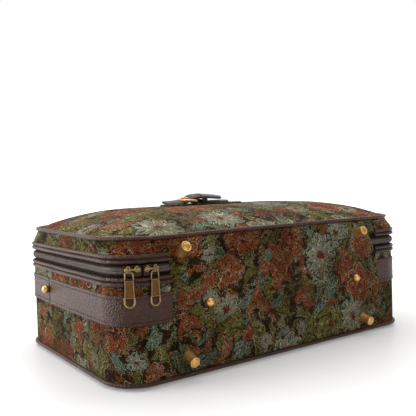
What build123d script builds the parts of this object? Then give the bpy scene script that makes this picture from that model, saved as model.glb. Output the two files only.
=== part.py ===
# Soft-sided suitcase lying flat on its back, with a domed zipped lid.
# X is the length, Y the width: the footed base is at -Y and the carry handle at +Y.
from build123d import *
import math
import os

os.makedirs("parts", exist_ok=True)

# Case shape
case_length = 504.0
case_width = 312.0
case_corner_radius = 43.0
lid_corner_radius = 60.0
back_seam_height = 6.0
zip_height = 137.0
zip_gap = 16.5
lid_rise = 37.0
dome_steps = [0.0, 0.08, 0.2, 0.45, 0.9]
lining_steps = [0.0, 0.2, 0.9]
dome_height = 28.0
dome_power = 2.5
dome_smallest_radius = 10.0
lid_corner_steps = 6

# Cloth, board and lining
fabric_thickness = 2.0
back_pad_chamfer_run = 14.0
back_pad_chamfer_rise = 4.5
board_thickness = 2.5
frame_thickness = 2.0
lining_thickness = 1.0
lid_pad_thickness = 4.0

# Piping and bindings
piping_radius = 2.5
piping_stand_off = 1.2
piping_sides = 8
binding_height = 9.5
binding_base_thickness = 1.4
binding_rib_thickness = 2.9
binding_rib_height = 3.4
binding_rib_margin = 0.5

# Leather band round the body
band_low = 73.0
band_height = 36.0
band_thickness = 1.6
band_slit_y = 52.0
band_slit_gap = 0.6

# Zip
tape_thickness = 1.2
tape_sink = 0.4
coil_width = 4.6
coil_thickness = 2.2
zip_parting = 0.4

# Padded base panel and its crown
panel_edge_thickness = 1.8
panel_crown = 7.2
panel_reach = 192.0
panel_split_gap = 0.8
panel_prism_depth = 20.0
hinge_flap_half_length = 165.0
panel_edge_margin = 3.0
panel_left_reach = [188.0, 184.5, 184.0, 186.0, 191.0]
panel_right_reach = [169.0, 184.0, 188.0, 176.0, 155.0]

# Barrel feet
foot_length = 17.0
foot_root_radius = 5.2
foot_tip_radius = 6.3
foot_dish_radius = 4.0
foot_dish_depth = 0.9
foot_rim_chamfer = 0.6
upper_feet = [(-174.0, -21.0, 27.0), (136.0, -21.0, 20.0)]
lower_feet = [(-169.0, 27.0, -27.0), (148.0, 23.0, -18.0)]

# Ball studs
stud_radius = 5.7
stud_neck_radius = 3.4
stud_collar_height = 0.2
stud_steps = 5
stud_seat_clearance = 0.2
stud_stand_off = 4.4
base_studs = [(-136.0, 90.5), (128.0, 88.5)]
side_stud_y = 59.0
side_stud_height = 93.0

# Zip sliders and pulls
slider_length = 19.0
slider_plate_thickness = 1.5
slider_clearance = 0.5
slider_flange_thickness = 1.3
slider_flange_lift = 0.2
bridge_radius = 1.1
bridge_stand_off = 6.6
bridge_span = 16.0
bridge_rise = 2.0
left_slider_angle = 30.0
right_slider_from_end = 39.5
pull_length = 43.0
pull_width = 12.0
pull_top_width = 9.0
pull_thickness = 1.5
pull_eye_radius = 2.4
pull_eye_bore = 1.4
pull_eye_width = 5.0
pull_ring_radius = 4.0
pull_window_margin = 1.6
pull_window_depth = 0.4
pull_plane = 4.9
pull_offset = 4.2
pull_neck_length = 3.0
pull_shoulder = 6.0
pull_window_top = 9.0
pull_window_length = 20.0

# Carry handle
handle_pitch = 128.0
handle_drop = 40.0
handle_grip_radius = 6.5
handle_bend_radius = 22.0
handle_grip_sides = 16
handle_side_clearance = 0.7
handle_pivot_height = 96.0
handle_bore_clearance = 0.1
handle_pin_radius = 1.7
handle_eye_radius = 3.6
handle_eye_width = 9.6
handle_eye_clearance = 0.3
handle_lug_width = 4.0
handle_plate_length = 26.0
handle_plate_height = 22.0
handle_plate_thickness = 1.5
handle_plate_round = 4.0
handle_ferrule_length = 9.0
handle_stem_radius = 2.6
handle_stem_overlap = 1.0

# Buckled strap on the lid
patch_left = -96.0
patch_right = 46.0
patch_width = 26.0
leather_thickness = 2.0
strap_width = 20.0
chape_right = 20.0
buckle_near_x = -44.0
buckle_far_x = -66.0
buckle_outer_width = 28.0
buckle_rod = 3.2
buckle_rod_chamfer = 0.8
buckle_far_rise = 6.5
fold_bore = 2.4
strap_clearance = 0.3
strap_lift_x = -84.0
strap_tip_x = 5.0
strap_slot_width = 4.0
keeper_x = -31.0
keeper_width = 9.0
prong_radius = 1.1
prong_knee = 7.0
prong_eye_width = 3.0
prong_eye_wall = 1.0

# Derived heights and faces
half_length = case_length / 2
half_width = case_width / 2
front_seam_height = zip_height + lid_rise
dome_run = half_width
lower_binding_top = zip_height - zip_gap / 2
upper_binding_low = zip_height + zip_gap / 2
body_fabric_top = lower_binding_top - binding_height / 2
lid_fabric_low = upper_binding_low + binding_height / 2
board_top = back_seam_height + board_thickness
frame_inset = fabric_thickness
lining_inset = frame_inset + frame_thickness
dome_top = front_seam_height + dome_height


def wall(z_low, z_high, radius_low, radius_high, inset, thickness):
    """Closed upright wall that follows the case outline at a chosen inset."""
    with BuildPart() as ring:
        with BuildSketch(Plane.XY.offset(z_low)):
            RectangleRounded(case_length - 2 * inset, case_width - 2 * inset, radius_low - inset)
        with BuildSketch(Plane.XY.offset(z_high)):
            RectangleRounded(case_length - 2 * inset, case_width - 2 * inset, radius_high - inset)
        loft()
        inner = inset + thickness
        with BuildSketch(Plane.XY.offset(z_low)):
            RectangleRounded(case_length - 2 * inner, case_width - 2 * inner, radius_low - inner)
        with BuildSketch(Plane.XY.offset(z_high)):
            RectangleRounded(case_length - 2 * inner, case_width - 2 * inner, radius_high - inner)
        loft(mode=Mode.SUBTRACT)
    return ring


def lid_outline(inset, radius):
    """Case outline for the lid's drawn-in layers, its round corners in equal short flats."""
    x, y = half_length - inset - radius, half_width - inset - radius
    corners = [(x, y, 0), (-x, y, 1), (-x, -y, 2), (x, -y, 3)]
    return [
        (
            middle_x + radius * math.cos((quarter + step / lid_corner_steps) * math.pi / 2),
            middle_y + radius * math.sin((quarter + step / lid_corner_steps) * math.pi / 2),
        )
        for middle_x, middle_y, quarter in corners
        for step in range(lid_corner_steps + 1)
    ]


def dome_rise(step):
    """Height of the lid's crown above the front seam, at a share of the way to its middle."""
    return dome_height * (1 - (1 - step) ** dome_power)


def dome(drop, steps):
    """Solid under the lid's crown, lowered and drawn in by one amount."""
    with BuildPart() as crown:
        for step in steps:
            rise = dome_rise(step)
            inset = step * (dome_run - drop) + drop
            radius = max(lid_corner_radius - inset, dome_smallest_radius)
            with BuildSketch(Plane.XY.offset(front_seam_height + rise - (drop if step else 0))):
                Polygon(*lid_outline(inset, radius), align=None)
        loft(ruled=True)
    return crown


def cord(z, radius):
    """Piping laid along the case outline, its round cord drawn with flat sides."""
    with BuildSketch(Plane.XY.offset(z)) as track:
        RectangleRounded(
            case_length + 2 * piping_stand_off,
            case_width + 2 * piping_stand_off,
            radius + piping_stand_off,
        )
    path = track.sketch.faces()[0].outer_wire()
    with BuildPart() as piping:
        with BuildSketch(Plane(origin=path @ 0, z_dir=path % 0)):
            RegularPolygon(piping_radius, piping_sides)
        sweep(path=path)
    return piping


def arc_depth(offset, half_chord):
    """Depth of a crown arc at a distance from its middle."""
    arc_radius = (half_chord**2 + panel_crown**2) / (2 * panel_crown)
    return panel_edge_thickness + math.sqrt(arc_radius**2 - offset**2) - (arc_radius - panel_crown)


def panel_depth(x, z):
    """How far the crowned base panel stands out at one spot."""
    return min(arc_depth(x, panel_reach), arc_depth(z - crown_middle, crown_half_height))


crown_middle = (back_seam_height + front_seam_height) / 2
crown_half_height = (front_seam_height - back_seam_height) / 2

# Back: padded cloth panel that the case lies on
with BuildPart() as back_panel:
    with BuildSketch(Plane.XY):
        RectangleRounded(
            case_length - 2 * back_pad_chamfer_run,
            case_width - 2 * back_pad_chamfer_run,
            case_corner_radius - back_pad_chamfer_run,
        )
    with BuildSketch(Plane.XY.offset(back_pad_chamfer_rise)):
        RectangleRounded(case_length, case_width, case_corner_radius)
    loft()
    with BuildSketch(Plane.XY.offset(back_pad_chamfer_rise)):
        RectangleRounded(case_length, case_width, case_corner_radius)
    extrude(amount=back_seam_height - back_pad_chamfer_rise)
back_panel.part.label = "back_panel"

# Back board that keeps the bottom flat
with BuildPart() as back_board:
    with BuildSketch(Plane.XY.offset(back_seam_height)):
        RectangleRounded(
            case_length - 2 * frame_inset,
            case_width - 2 * frame_inset,
            case_corner_radius - frame_inset,
        )
    extrude(amount=board_thickness)
back_board.part.label = "back_board"

# Body side wall: cloth with a short flap behind the base panel
with BuildPart() as body_gusset:
    add(wall(back_seam_height, body_fabric_top, case_corner_radius, case_corner_radius, 0, fabric_thickness).part)
    flap_height = zip_height - panel_split_gap / 2 - body_fabric_top
    with Locations((0, -half_width + fabric_thickness / 2, body_fabric_top + flap_height / 2)):
        Box(2 * hinge_flap_half_length, fabric_thickness, flap_height)
body_gusset.part.label = "body_gusset"

# Stiffening wall inside the body cloth
body_frame = wall(
    board_top, body_fabric_top, case_corner_radius, case_corner_radius, frame_inset, frame_thickness
)
body_frame.part.label = "body_frame"

# Body lining: thin cloth tub
with BuildPart() as body_lining:
    add(
        wall(
            board_top, body_fabric_top, case_corner_radius, case_corner_radius, lining_inset, lining_thickness
        ).part
    )
    with BuildSketch(Plane.XY.offset(board_top)):
        RectangleRounded(
            case_length - 2 * lining_inset,
            case_width - 2 * lining_inset,
            case_corner_radius - lining_inset,
        )
    extrude(amount=lining_thickness)
body_lining.part.label = "body_lining"

# Base panel: crowned pad over the base side, cut at the hinge line
panel_low = back_seam_height + panel_edge_margin
panel_levels = (front_seam_height - panel_edge_margin - panel_low) / (len(panel_left_reach) - 1)
left_edge = [(-reach, panel_low + level * panel_levels) for level, reach in enumerate(panel_left_reach)]
right_edge = [(reach, panel_low + level * panel_levels) for level, reach in enumerate(panel_right_reach)]

with BuildPart() as panel_prism:
    with BuildSketch(Plane.XZ.offset(half_width)):
        with BuildLine():
            Spline(*left_edge)
            Line(left_edge[-1], right_edge[-1])
            Spline(*right_edge)
            Line(right_edge[0], left_edge[0])
        make_face()
    extrude(amount=panel_prism_depth)

with BuildPart() as base_panel:
    with BuildSketch(Plane.YZ):
        with BuildLine():
            crown_root = -half_width - panel_edge_thickness
            Line((-half_width, back_seam_height), (crown_root, back_seam_height))
            ThreePointArc(
                (crown_root, back_seam_height),
                (crown_root - panel_crown, crown_middle),
                (crown_root, front_seam_height),
            )
            Line((crown_root, front_seam_height), (-half_width, front_seam_height))
            Line((-half_width, front_seam_height), (-half_width, back_seam_height))
        make_face()
    extrude(amount=panel_reach, both=True)
    with BuildSketch(Plane.XY):
        with BuildLine():
            Line((-panel_reach, -half_width), (-panel_reach, crown_root))
            ThreePointArc((-panel_reach, crown_root), (0, crown_root - panel_crown), (panel_reach, crown_root))
            Line((panel_reach, crown_root), (panel_reach, -half_width))
            Line((panel_reach, -half_width), (-panel_reach, -half_width))
        make_face()
    extrude(amount=front_seam_height, mode=Mode.INTERSECT)
    add(panel_prism.part, mode=Mode.INTERSECT)

with BuildPart() as base_panel_body:
    add(base_panel.part)
    with Locations((0, -half_width, zip_height - panel_split_gap / 2)):
        Box(
            case_length,
            case_width,
            case_width,
            align=(Align.CENTER, Align.CENTER, Align.MIN),
            mode=Mode.SUBTRACT,
        )
base_panel_body.part.label = "base_panel_body"

with BuildPart() as base_panel_lid:
    add(base_panel.part)
    with Locations((0, -half_width, zip_height + panel_split_gap / 2)):
        Box(
            case_length,
            case_width,
            case_width,
            align=(Align.CENTER, Align.CENTER, Align.MAX),
            mode=Mode.SUBTRACT,
        )
base_panel_lid.part.label = "base_panel_lid"

# Lid side wall: upright by the zip, then drawn in to the rounder front corners
wall_bend_height = upper_binding_low + binding_height


def lid_wall(inset, thickness):
    """Lid wall layer: straight foot with an upper part that draws in to rounder corners."""
    with BuildPart() as layer:
        for depth, mode in ((inset, Mode.ADD), (inset + thickness, Mode.SUBTRACT)):
            bend = lid_outline(depth, case_corner_radius - depth)
            with BuildSketch(Plane.XY.offset(lid_fabric_low)):
                Polygon(*bend, align=None)
            with BuildSketch(Plane.XY.offset(wall_bend_height)):
                Polygon(*bend, align=None)
            with BuildSketch(Plane.XY.offset(front_seam_height)):
                Polygon(*lid_outline(depth, lid_corner_radius - depth), align=None)
            loft(ruled=True, mode=mode)
    return layer


with BuildPart() as lid_gusset:
    add(lid_wall(0, fabric_thickness).part)
    lid_flap_low = zip_height + panel_split_gap / 2
    with Locations((0, -half_width + fabric_thickness / 2, (lid_flap_low + lid_fabric_low) / 2)):
        Box(2 * hinge_flap_half_length, fabric_thickness, lid_fabric_low - lid_flap_low)
lid_gusset.part.label = "lid_gusset"

lid_frame = lid_wall(frame_inset, frame_thickness)
lid_frame.part.label = "lid_frame"

# Lid panel: padded and domed
with BuildPart() as lid_panel:
    add(dome(0, dome_steps).part)
    add(dome(lid_pad_thickness, lining_steps).part, mode=Mode.SUBTRACT)
lid_panel.part.label = "lid_panel"

with BuildPart() as lid_lining:
    add(dome(lid_pad_thickness, lining_steps).part)
    add(dome(lid_pad_thickness + lining_thickness, lining_steps).part, mode=Mode.SUBTRACT)
    add(lid_wall(lining_inset, lining_thickness).part)
lid_lining.part.label = "lid_lining"

# Piping in both seams
with BuildPart() as back_piping:
    add(cord(back_seam_height, case_corner_radius).part)
    with BuildSketch(Plane.XY):
        RectangleRounded(case_length, case_width, case_corner_radius)
    extrude(amount=zip_height, mode=Mode.SUBTRACT)
back_piping.part.label = "back_piping"

with BuildPart() as front_piping:
    add(cord(front_seam_height, lid_corner_radius).part)
    with BuildSketch(Plane.XY):
        RectangleRounded(case_length, case_width, lid_corner_radius - piping_radius)
    extrude(amount=dome_top, mode=Mode.SUBTRACT)
front_piping.part.label = "front_piping"


# Leather bindings beside the zip, each with two ribs, open behind the base panel
def binding(z_low):
    """Ribbed leather strip that runs from one end of the base panel to the other."""
    r = case_corner_radius
    rib_low = z_low + binding_rib_margin
    rib_high = z_low + binding_height - binding_rib_margin - binding_rib_height
    with BuildPart() as strip:
        add(wall(z_low, z_low + binding_height, r, r, -binding_base_thickness, binding_base_thickness).part)
        add(wall(rib_low, rib_low + binding_rib_height, r, r, -binding_rib_thickness, binding_rib_thickness).part)
        add(wall(rib_high, rib_high + binding_rib_height, r, r, -binding_rib_thickness, binding_rib_thickness).part)
        add(panel_prism.part, mode=Mode.SUBTRACT)
    return strip


lower_binding = binding(lower_binding_top - binding_height)
lower_binding.part.label = "lower_binding"
upper_binding = binding(upper_binding_low)
upper_binding.part.label = "upper_binding"

# Leather band: two front pieces and one round the handle side
band_ring = wall(
    band_low, band_low + band_height, case_corner_radius, case_corner_radius, -band_thickness, band_thickness
)

with BuildPart() as band_left:
    add(band_ring.part)
    with Locations((0, band_slit_y, band_low)):
        Box(case_length, case_width, case_width, align=(Align.MAX, Align.MAX, Align.CENTER), mode=Mode.INTERSECT)
    add(panel_prism.part, mode=Mode.SUBTRACT)
    with Locations((0, -half_width, band_low)):
        Box(2 * hinge_flap_half_length, panel_prism_depth, case_width, mode=Mode.SUBTRACT)
band_left.part.label = "band_left"

with BuildPart() as band_right:
    add(band_ring.part)
    with Locations((0, band_slit_y, band_low)):
        Box(case_length, case_width, case_width, align=(Align.MIN, Align.MAX, Align.CENTER), mode=Mode.INTERSECT)
    add(panel_prism.part, mode=Mode.SUBTRACT)
    with Locations((0, -half_width, band_low)):
        Box(2 * hinge_flap_half_length, panel_prism_depth, case_width, mode=Mode.SUBTRACT)
band_right.part.label = "band_right"

with BuildPart() as band_handle:
    add(band_ring.part)
    with Locations((0, band_slit_y + band_slit_gap, band_low)):
        Box(2 * case_length, case_width, case_width, align=(Align.CENTER, Align.MIN, Align.CENTER), mode=Mode.INTERSECT)
band_handle.part.label = "band_handle"


# Zip: each half is a tape with its coil, from one end of the base panel to the other
def zip_half(tape_low, tape_high, coil_low):
    """Tape and coil on one side of the parting line."""
    r = case_corner_radius
    coil_stand = coil_thickness - tape_sink
    with BuildPart() as half:
        add(wall(tape_low, tape_high, r, r, tape_sink, tape_thickness).part)
        add(wall(coil_low, coil_low + coil_width, r, r, -coil_stand, coil_thickness).part)
        add(panel_prism.part, mode=Mode.SUBTRACT)
        with Locations((0, -half_width, zip_height)):
            Box(2 * (hinge_flap_half_length + zip_parting), panel_prism_depth, case_width, mode=Mode.SUBTRACT)
    return half


lower_part = zip_height - zip_parting / 2
upper_part = zip_height + zip_parting / 2
zip_lower = zip_half(body_fabric_top, lower_part, lower_part - coil_width)
zip_lower.part.label = "zip_lower"
zip_upper = zip_half(upper_part, lid_fabric_low, upper_part)
zip_upper.part.label = "zip_upper"


# Barrel feet: flared, with a dished end, seated on the crowned panel
def foot(x, z, tilt):
    """One foot with its axis tilted up or down."""
    lean = math.radians(tilt)
    root = Plane(
        origin=(x, -half_width - panel_depth(x, z) / 2, z),
        x_dir=(1, 0, 0),
        z_dir=(0, -math.cos(lean), math.sin(lean)),
    )
    with BuildPart(root) as barrel:
        with Locations((0, 0, foot_length / 2)):
            Cone(foot_root_radius, foot_tip_radius, foot_length)
        rim = barrel.edges().filter_by(GeomType.CIRCLE).sort_by(Axis.Y)[0]
        chamfer(rim, foot_rim_chamfer)
        with Locations((0, 0, foot_length - foot_dish_depth / 2)):
            Cylinder(foot_dish_radius, foot_dish_depth, mode=Mode.SUBTRACT)
    with BuildPart() as seated:
        add(barrel.part)
        add(base_panel.part, mode=Mode.SUBTRACT)
        with Locations((x, -half_width, z)):
            Box(
                panel_prism_depth,
                panel_prism_depth,
                panel_prism_depth,
                align=(Align.CENTER, Align.MIN, Align.CENTER),
                mode=Mode.SUBTRACT,
            )
    return seated


with BuildPart() as feet_upper:
    for x, below_seam, tilt in upper_feet:
        add(foot(x, front_seam_height + below_seam, tilt).part)
feet_upper.part.label = "feet_upper"

with BuildPart() as feet_lower:
    for x, above_seam, tilt in lower_feet:
        add(foot(x, back_seam_height + above_seam, tilt).part)
feet_lower.part.label = "feet_lower"


# Ball studs: on the base panel and on the ends of the handle band
with BuildPart() as ball_stud:
    with BuildSketch(Plane.XZ):
        collar_angle = math.asin((stud_collar_height - stud_stand_off) / stud_radius)
        turn = (math.pi / 2 - collar_angle) / stud_steps
        ball = [
            (
                stud_radius * math.cos(collar_angle + step * turn),
                stud_stand_off + stud_radius * math.sin(collar_angle + step * turn),
            )
            for step in range(stud_steps)
        ]
        with BuildLine():
            Polyline(
                (0, stud_stand_off + stud_radius),
                (0, 0),
                (stud_neck_radius, 0),
                (stud_neck_radius, stud_collar_height),
                *ball,
                close=True,
            )
        make_face()
    revolve(axis=Axis.Z)

with BuildPart() as studs_base:
    for x, z in base_studs:
        with Locations(Location((x, -half_width - panel_depth(x, z) - stud_seat_clearance, z), (90, 0, 0))):
            add(ball_stud.part)
studs_base.part.label = "studs_base"

with BuildPart() as studs_side:
    for side in (-1, 1):
        with Locations(
            Location((side * (half_length + band_thickness), side_stud_y, side_stud_height), (0, side * 90, 0))
        ):
            add(ball_stud.part)
studs_side.part.label = "studs_side"

# Zip sliders: a plate with hooked flanges and an open bridge, made for a bend or for a straight run.
# They are drawn with the outline's corner centre at the origin and the case wall towards -Y.
coil_stand_off = coil_thickness - tape_sink
slider_near = coil_stand_off + slider_clearance
slider_far = slider_near + slider_plate_thickness
channel_half = coil_width + zip_parting / 2 + slider_clearance
slider_half_height = channel_half + slider_flange_thickness
bridge_y = -(case_corner_radius + bridge_stand_off)


def bridge():
    """Bar on two legs that carries the pull."""
    leg_length = bridge_stand_off - slider_near
    with BuildPart() as bar:
        with Locations((0, bridge_y, bridge_rise)):
            Cylinder(bridge_radius, bridge_span + 2 * bridge_radius, rotation=(0, 90, 0))
        with Locations(
            (-bridge_span / 2, bridge_y + leg_length / 2, bridge_rise),
            (bridge_span / 2, bridge_y + leg_length / 2, bridge_rise),
        ):
            Box(2 * bridge_radius, leg_length, 2 * bridge_radius)
    return bar


with BuildPart() as bent_slider:
    with BuildSketch(Plane.XY.offset(-slider_half_height)):
        Circle(case_corner_radius + slider_far)
        Circle(case_corner_radius + slider_flange_lift, mode=Mode.SUBTRACT)
        wedge = 2 * (case_corner_radius + slider_far)
        spread = math.tan(slider_length / 2 / (case_corner_radius + slider_near)) * wedge
        Polygon((0, 0), (-spread, -wedge), (spread, -wedge), align=None, mode=Mode.INTERSECT)
    extrude(amount=2 * slider_half_height)
    with BuildSketch(Plane.XY.offset(-channel_half)):
        Circle(case_corner_radius + slider_near)
    extrude(amount=2 * channel_half, mode=Mode.SUBTRACT)
    add(bridge().part)

with BuildPart() as straight_slider:
    with Locations((0, -case_corner_radius - slider_flange_lift, 0)):
        Box(
            slider_length,
            slider_far - slider_flange_lift,
            2 * slider_half_height,
            align=(Align.CENTER, Align.MAX, Align.CENTER),
        )
    with Locations((0, -case_corner_radius - slider_near, 0)):
        Box(
            slider_length,
            slider_near,
            2 * channel_half,
            align=(Align.CENTER, Align.MIN, Align.CENTER),
            mode=Mode.SUBTRACT,
        )
    add(bridge().part)

# Pull: rolled eye, tapered plate with a sunk window, and a round hole at the end
with BuildPart() as pull:
    with BuildSketch(Plane.XZ.offset(case_corner_radius + pull_plane - pull_thickness / 2)):
        top = bridge_rise
        low = bridge_rise - pull_length + pull_width / 2
        with BuildLine():
            Polyline(
                (-pull_width / 2, low),
                (-pull_top_width / 2, top - pull_shoulder),
                (-pull_eye_width / 2, top - pull_neck_length),
                (-pull_eye_width / 2, top),
                (pull_eye_width / 2, top),
                (pull_eye_width / 2, top - pull_neck_length),
                (pull_top_width / 2, top - pull_shoulder),
                (pull_width / 2, low),
            )
            ThreePointArc((pull_width / 2, low), (0, low - pull_width / 2), (-pull_width / 2, low))
        make_face()
        with Locations((0, low)):
            Circle(pull_ring_radius, mode=Mode.SUBTRACT)
    extrude(amount=pull_thickness)
    window_width = pull_top_width - 2 * pull_window_margin
    window_middle = top - pull_window_top - pull_window_length / 2
    with Locations((0, -case_corner_radius - pull_plane - pull_thickness / 2, window_middle)):
        Box(window_width, 2 * pull_window_depth, pull_window_length, mode=Mode.SUBTRACT)
    with Locations((0, bridge_y, bridge_rise)):
        Cylinder(pull_eye_radius, pull_eye_width, rotation=(0, 90, 0))
        Cylinder(pull_eye_bore, pull_eye_width, rotation=(0, 90, 0), mode=Mode.SUBTRACT)

corner_x = -half_length + case_corner_radius
corner_y = -half_width + case_corner_radius
left_place = Location((corner_x, corner_y, zip_height), (0, 0, -left_slider_angle))
right_place = Location((right_slider_from_end - half_length, corner_y, zip_height))

with BuildPart() as slider_left:
    with Locations(left_place):
        add(bent_slider.part)
slider_left.part.label = "slider_left"

with BuildPart() as slider_right:
    with Locations(right_place):
        add(straight_slider.part)
slider_right.part.label = "slider_right"

with BuildPart() as pull_left:
    with Locations(left_place * Location((-pull_offset, 0, 0))):
        add(pull.part)
pull_left.part.label = "pull_left"

with BuildPart() as pull_right:
    with Locations(right_place * Location((pull_offset, 0, 0))):
        add(pull.part)
pull_right.part.label = "pull_right"

# Carry handle: two lugged plates on the band, brass ends on pins, and a rolled leather grip
band_face_y = half_width + band_thickness
handle_axis_y = band_face_y + handle_plate_thickness + handle_side_clearance + handle_grip_radius
lug_reach = handle_axis_y - band_face_y
lug_middle = (handle_eye_width + handle_lug_width) / 2 + handle_eye_clearance

with BuildPart() as handle_plates:
    for side in (-1, 1):
        x = side * handle_pitch / 2
        with BuildSketch(Plane.XZ.offset(-band_face_y - handle_plate_thickness)):
            with Locations((x, handle_pivot_height - handle_plate_round)):
                RectangleRounded(handle_plate_length, handle_plate_height, handle_plate_round)
        extrude(amount=handle_plate_thickness)
        for end in (-1, 1):
            with Locations((x + end * lug_middle, band_face_y, handle_pivot_height)):
                Box(
                    handle_lug_width,
                    lug_reach,
                    2 * handle_eye_radius,
                    align=(Align.CENTER, Align.MIN, Align.CENTER),
                )
            with Locations((x + end * lug_middle, handle_axis_y, handle_pivot_height)):
                Cylinder(handle_eye_radius, handle_lug_width, rotation=(0, 90, 0))
        with Locations((x, handle_axis_y, handle_pivot_height)):
            Cylinder(handle_pin_radius, 2 * lug_middle, rotation=(0, 90, 0))
handle_plates.part.label = "handle_plates"

grip_end_x = handle_pitch / 2
grip_end_z = handle_pivot_height - handle_eye_radius - handle_ferrule_length
grip_low_z = handle_pivot_height - handle_drop
with BuildPart() as handle_grip:
    with BuildLine() as grip_line:
        FilletPolyline(
            (-grip_end_x, handle_axis_y, grip_end_z),
            (-grip_end_x, handle_axis_y, grip_low_z),
            (grip_end_x, handle_axis_y, grip_low_z),
            (grip_end_x, handle_axis_y, grip_end_z),
            radius=handle_bend_radius,
        )
    grip_path = grip_line.wires()[0]
    with BuildSketch(Plane(origin=grip_path @ 0, z_dir=grip_path % 0)):
        RegularPolygon(handle_grip_radius, handle_grip_sides)
    sweep(path=grip_path)
handle_grip.part.label = "handle_grip"

with BuildPart() as handle_ends:
    for side in (-1, 1):
        with Locations((side * grip_end_x, handle_axis_y, grip_end_z)):
            Cone(
                handle_grip_radius,
                handle_stem_radius,
                handle_ferrule_length + handle_stem_overlap,
                align=(Align.CENTER, Align.CENTER, Align.MIN),
            )
        with Locations((side * grip_end_x, handle_axis_y, handle_pivot_height)):
            Cylinder(handle_eye_radius, handle_eye_width, rotation=(0, 90, 0))
            Cylinder(
                handle_pin_radius + handle_bore_clearance,
                handle_eye_width,
                rotation=(0, 90, 0),
                mode=Mode.SUBTRACT,
            )
handle_ends.part.label = "handle_ends"

# Buckled strap lying along the middle of the lid
lid_top = front_seam_height + dome_rise(dome_steps[-1])
patch_top = lid_top + leather_thickness
chape_top = patch_top + leather_thickness
fold_outer = fold_bore + leather_thickness
near_bar_z = patch_top + fold_outer
far_bar_z = patch_top + buckle_far_rise
over_fold = near_bar_z + fold_outer + strap_clearance + leather_thickness / 2

with BuildPart() as buckle_patch:
    with BuildSketch(Plane.XY.offset(lid_top)):
        with BuildLine():
            end_x = patch_right - patch_width / 2
            Polyline(
                (end_x, patch_width / 2),
                (patch_left, patch_width / 2),
                (patch_left, -patch_width / 2),
                (end_x, -patch_width / 2),
            )
            ThreePointArc((end_x, -patch_width / 2), (patch_right, 0), (end_x, patch_width / 2))
        make_face()
    extrude(amount=leather_thickness)
buckle_patch.part.label = "buckle_patch"

with BuildPart() as buckle_chape:
    with BuildSketch(Plane.XY.offset(patch_top)):
        with BuildLine():
            end_x = chape_right - strap_width / 2
            Polyline(
                (end_x, strap_width / 2),
                (buckle_near_x, strap_width / 2),
                (buckle_near_x, -strap_width / 2),
                (end_x, -strap_width / 2),
            )
            ThreePointArc((end_x, -strap_width / 2), (chape_right, 0), (end_x, strap_width / 2))
        make_face()
    extrude(amount=leather_thickness)
    with Locations((buckle_near_x, 0, near_bar_z)):
        Cylinder(fold_outer, strap_width, rotation=(90, 0, 0))
        Cylinder(fold_bore, strap_width, rotation=(90, 0, 0), mode=Mode.SUBTRACT)
        Box(2 * fold_outer, strap_slot_width, 2 * fold_outer, mode=Mode.SUBTRACT)
buckle_chape.part.label = "buckle_chape"

with BuildPart() as buckle_strap:
    flat_z = patch_top + leather_thickness / 2
    under_bar = far_bar_z - buckle_rod / 2 - strap_clearance - leather_thickness
    with BuildSketch(Plane.XZ):
        with BuildLine():
            Line((patch_left, flat_z), (strap_lift_x, flat_z))
            Spline(
                (strap_lift_x, flat_z),
                (buckle_far_x, under_bar),
                (buckle_near_x, over_fold),
                (keeper_x, over_fold - strap_clearance),
                (strap_tip_x, chape_top + 2 * leather_thickness),
                tangents=((1, 0), (1, 0)),
            )
        trace(line_width=leather_thickness)
    extrude(amount=strap_width / 2, both=True)
    with Locations(((buckle_near_x + buckle_far_x) / 2, 0, over_fold)):
        Box(buckle_near_x - buckle_far_x, strap_slot_width, 4 * fold_outer, mode=Mode.SUBTRACT)
    with BuildSketch(Plane.XY.offset(lid_top)):
        with Locations(((patch_left - strap_width + strap_tip_x) / 2, 0)):
            RectangleRounded(
                strap_tip_x - patch_left + strap_width, strap_width, strap_width / 2 - strap_clearance
            )
    extrude(amount=dome_height, mode=Mode.INTERSECT)
buckle_strap.part.label = "buckle_strap"

# Buckle frame, raised at its far side, and the prong resting on it
frame_run = buckle_near_x - buckle_far_x
frame_rise = far_bar_z - near_bar_z
frame_plane = Plane(
    origin=((buckle_near_x + buckle_far_x) / 2, 0, (near_bar_z + far_bar_z) / 2),
    x_dir=(frame_run, 0, -frame_rise),
    z_dir=(frame_rise, 0, frame_run),
)
frame_length = math.hypot(frame_run, frame_rise)
with BuildPart() as buckle_frame:
    with BuildSketch(frame_plane.offset(-buckle_rod / 2)):
        RectangleRounded(frame_length + buckle_rod, buckle_outer_width, buckle_rod)
        Rectangle(frame_length - buckle_rod, buckle_outer_width - 2 * buckle_rod, mode=Mode.SUBTRACT)
    extrude(amount=buckle_rod)
    broad = buckle_frame.faces().sort_by(Axis(frame_plane.origin, frame_plane.z_dir))
    chamfer([*broad[0].edges(), *broad[-1].edges()], buckle_rod_chamfer)
buckle_frame.part.label = "buckle_frame"

with BuildPart() as buckle_prong:
    with Locations((buckle_near_x, 0, near_bar_z)):
        Cylinder(fold_bore + prong_eye_wall, prong_eye_width, rotation=(90, 0, 0))
        Cylinder(fold_bore, prong_eye_width, rotation=(90, 0, 0), mode=Mode.SUBTRACT)
    with BuildLine() as prong_line:
        rest_z = far_bar_z + buckle_rod / 2 + prong_radius
        Polyline(
            (buckle_near_x - fold_bore - prong_eye_wall / 2, 0, near_bar_z),
            (buckle_near_x - prong_knee, 0, rest_z),
            (buckle_far_x - buckle_rod / 2, 0, rest_z),
        )
    prong_path = prong_line.wires()[0]
    with BuildSketch(Plane(origin=prong_path @ 0, z_dir=prong_path % 0)):
        Circle(prong_radius)
    sweep(path=prong_path, transition=Transition.RIGHT)
    with Locations((buckle_near_x, 0, near_bar_z)):
        Cylinder(fold_bore, prong_eye_width, rotation=(90, 0, 0), mode=Mode.SUBTRACT)
buckle_prong.part.label = "buckle_prong"

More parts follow.
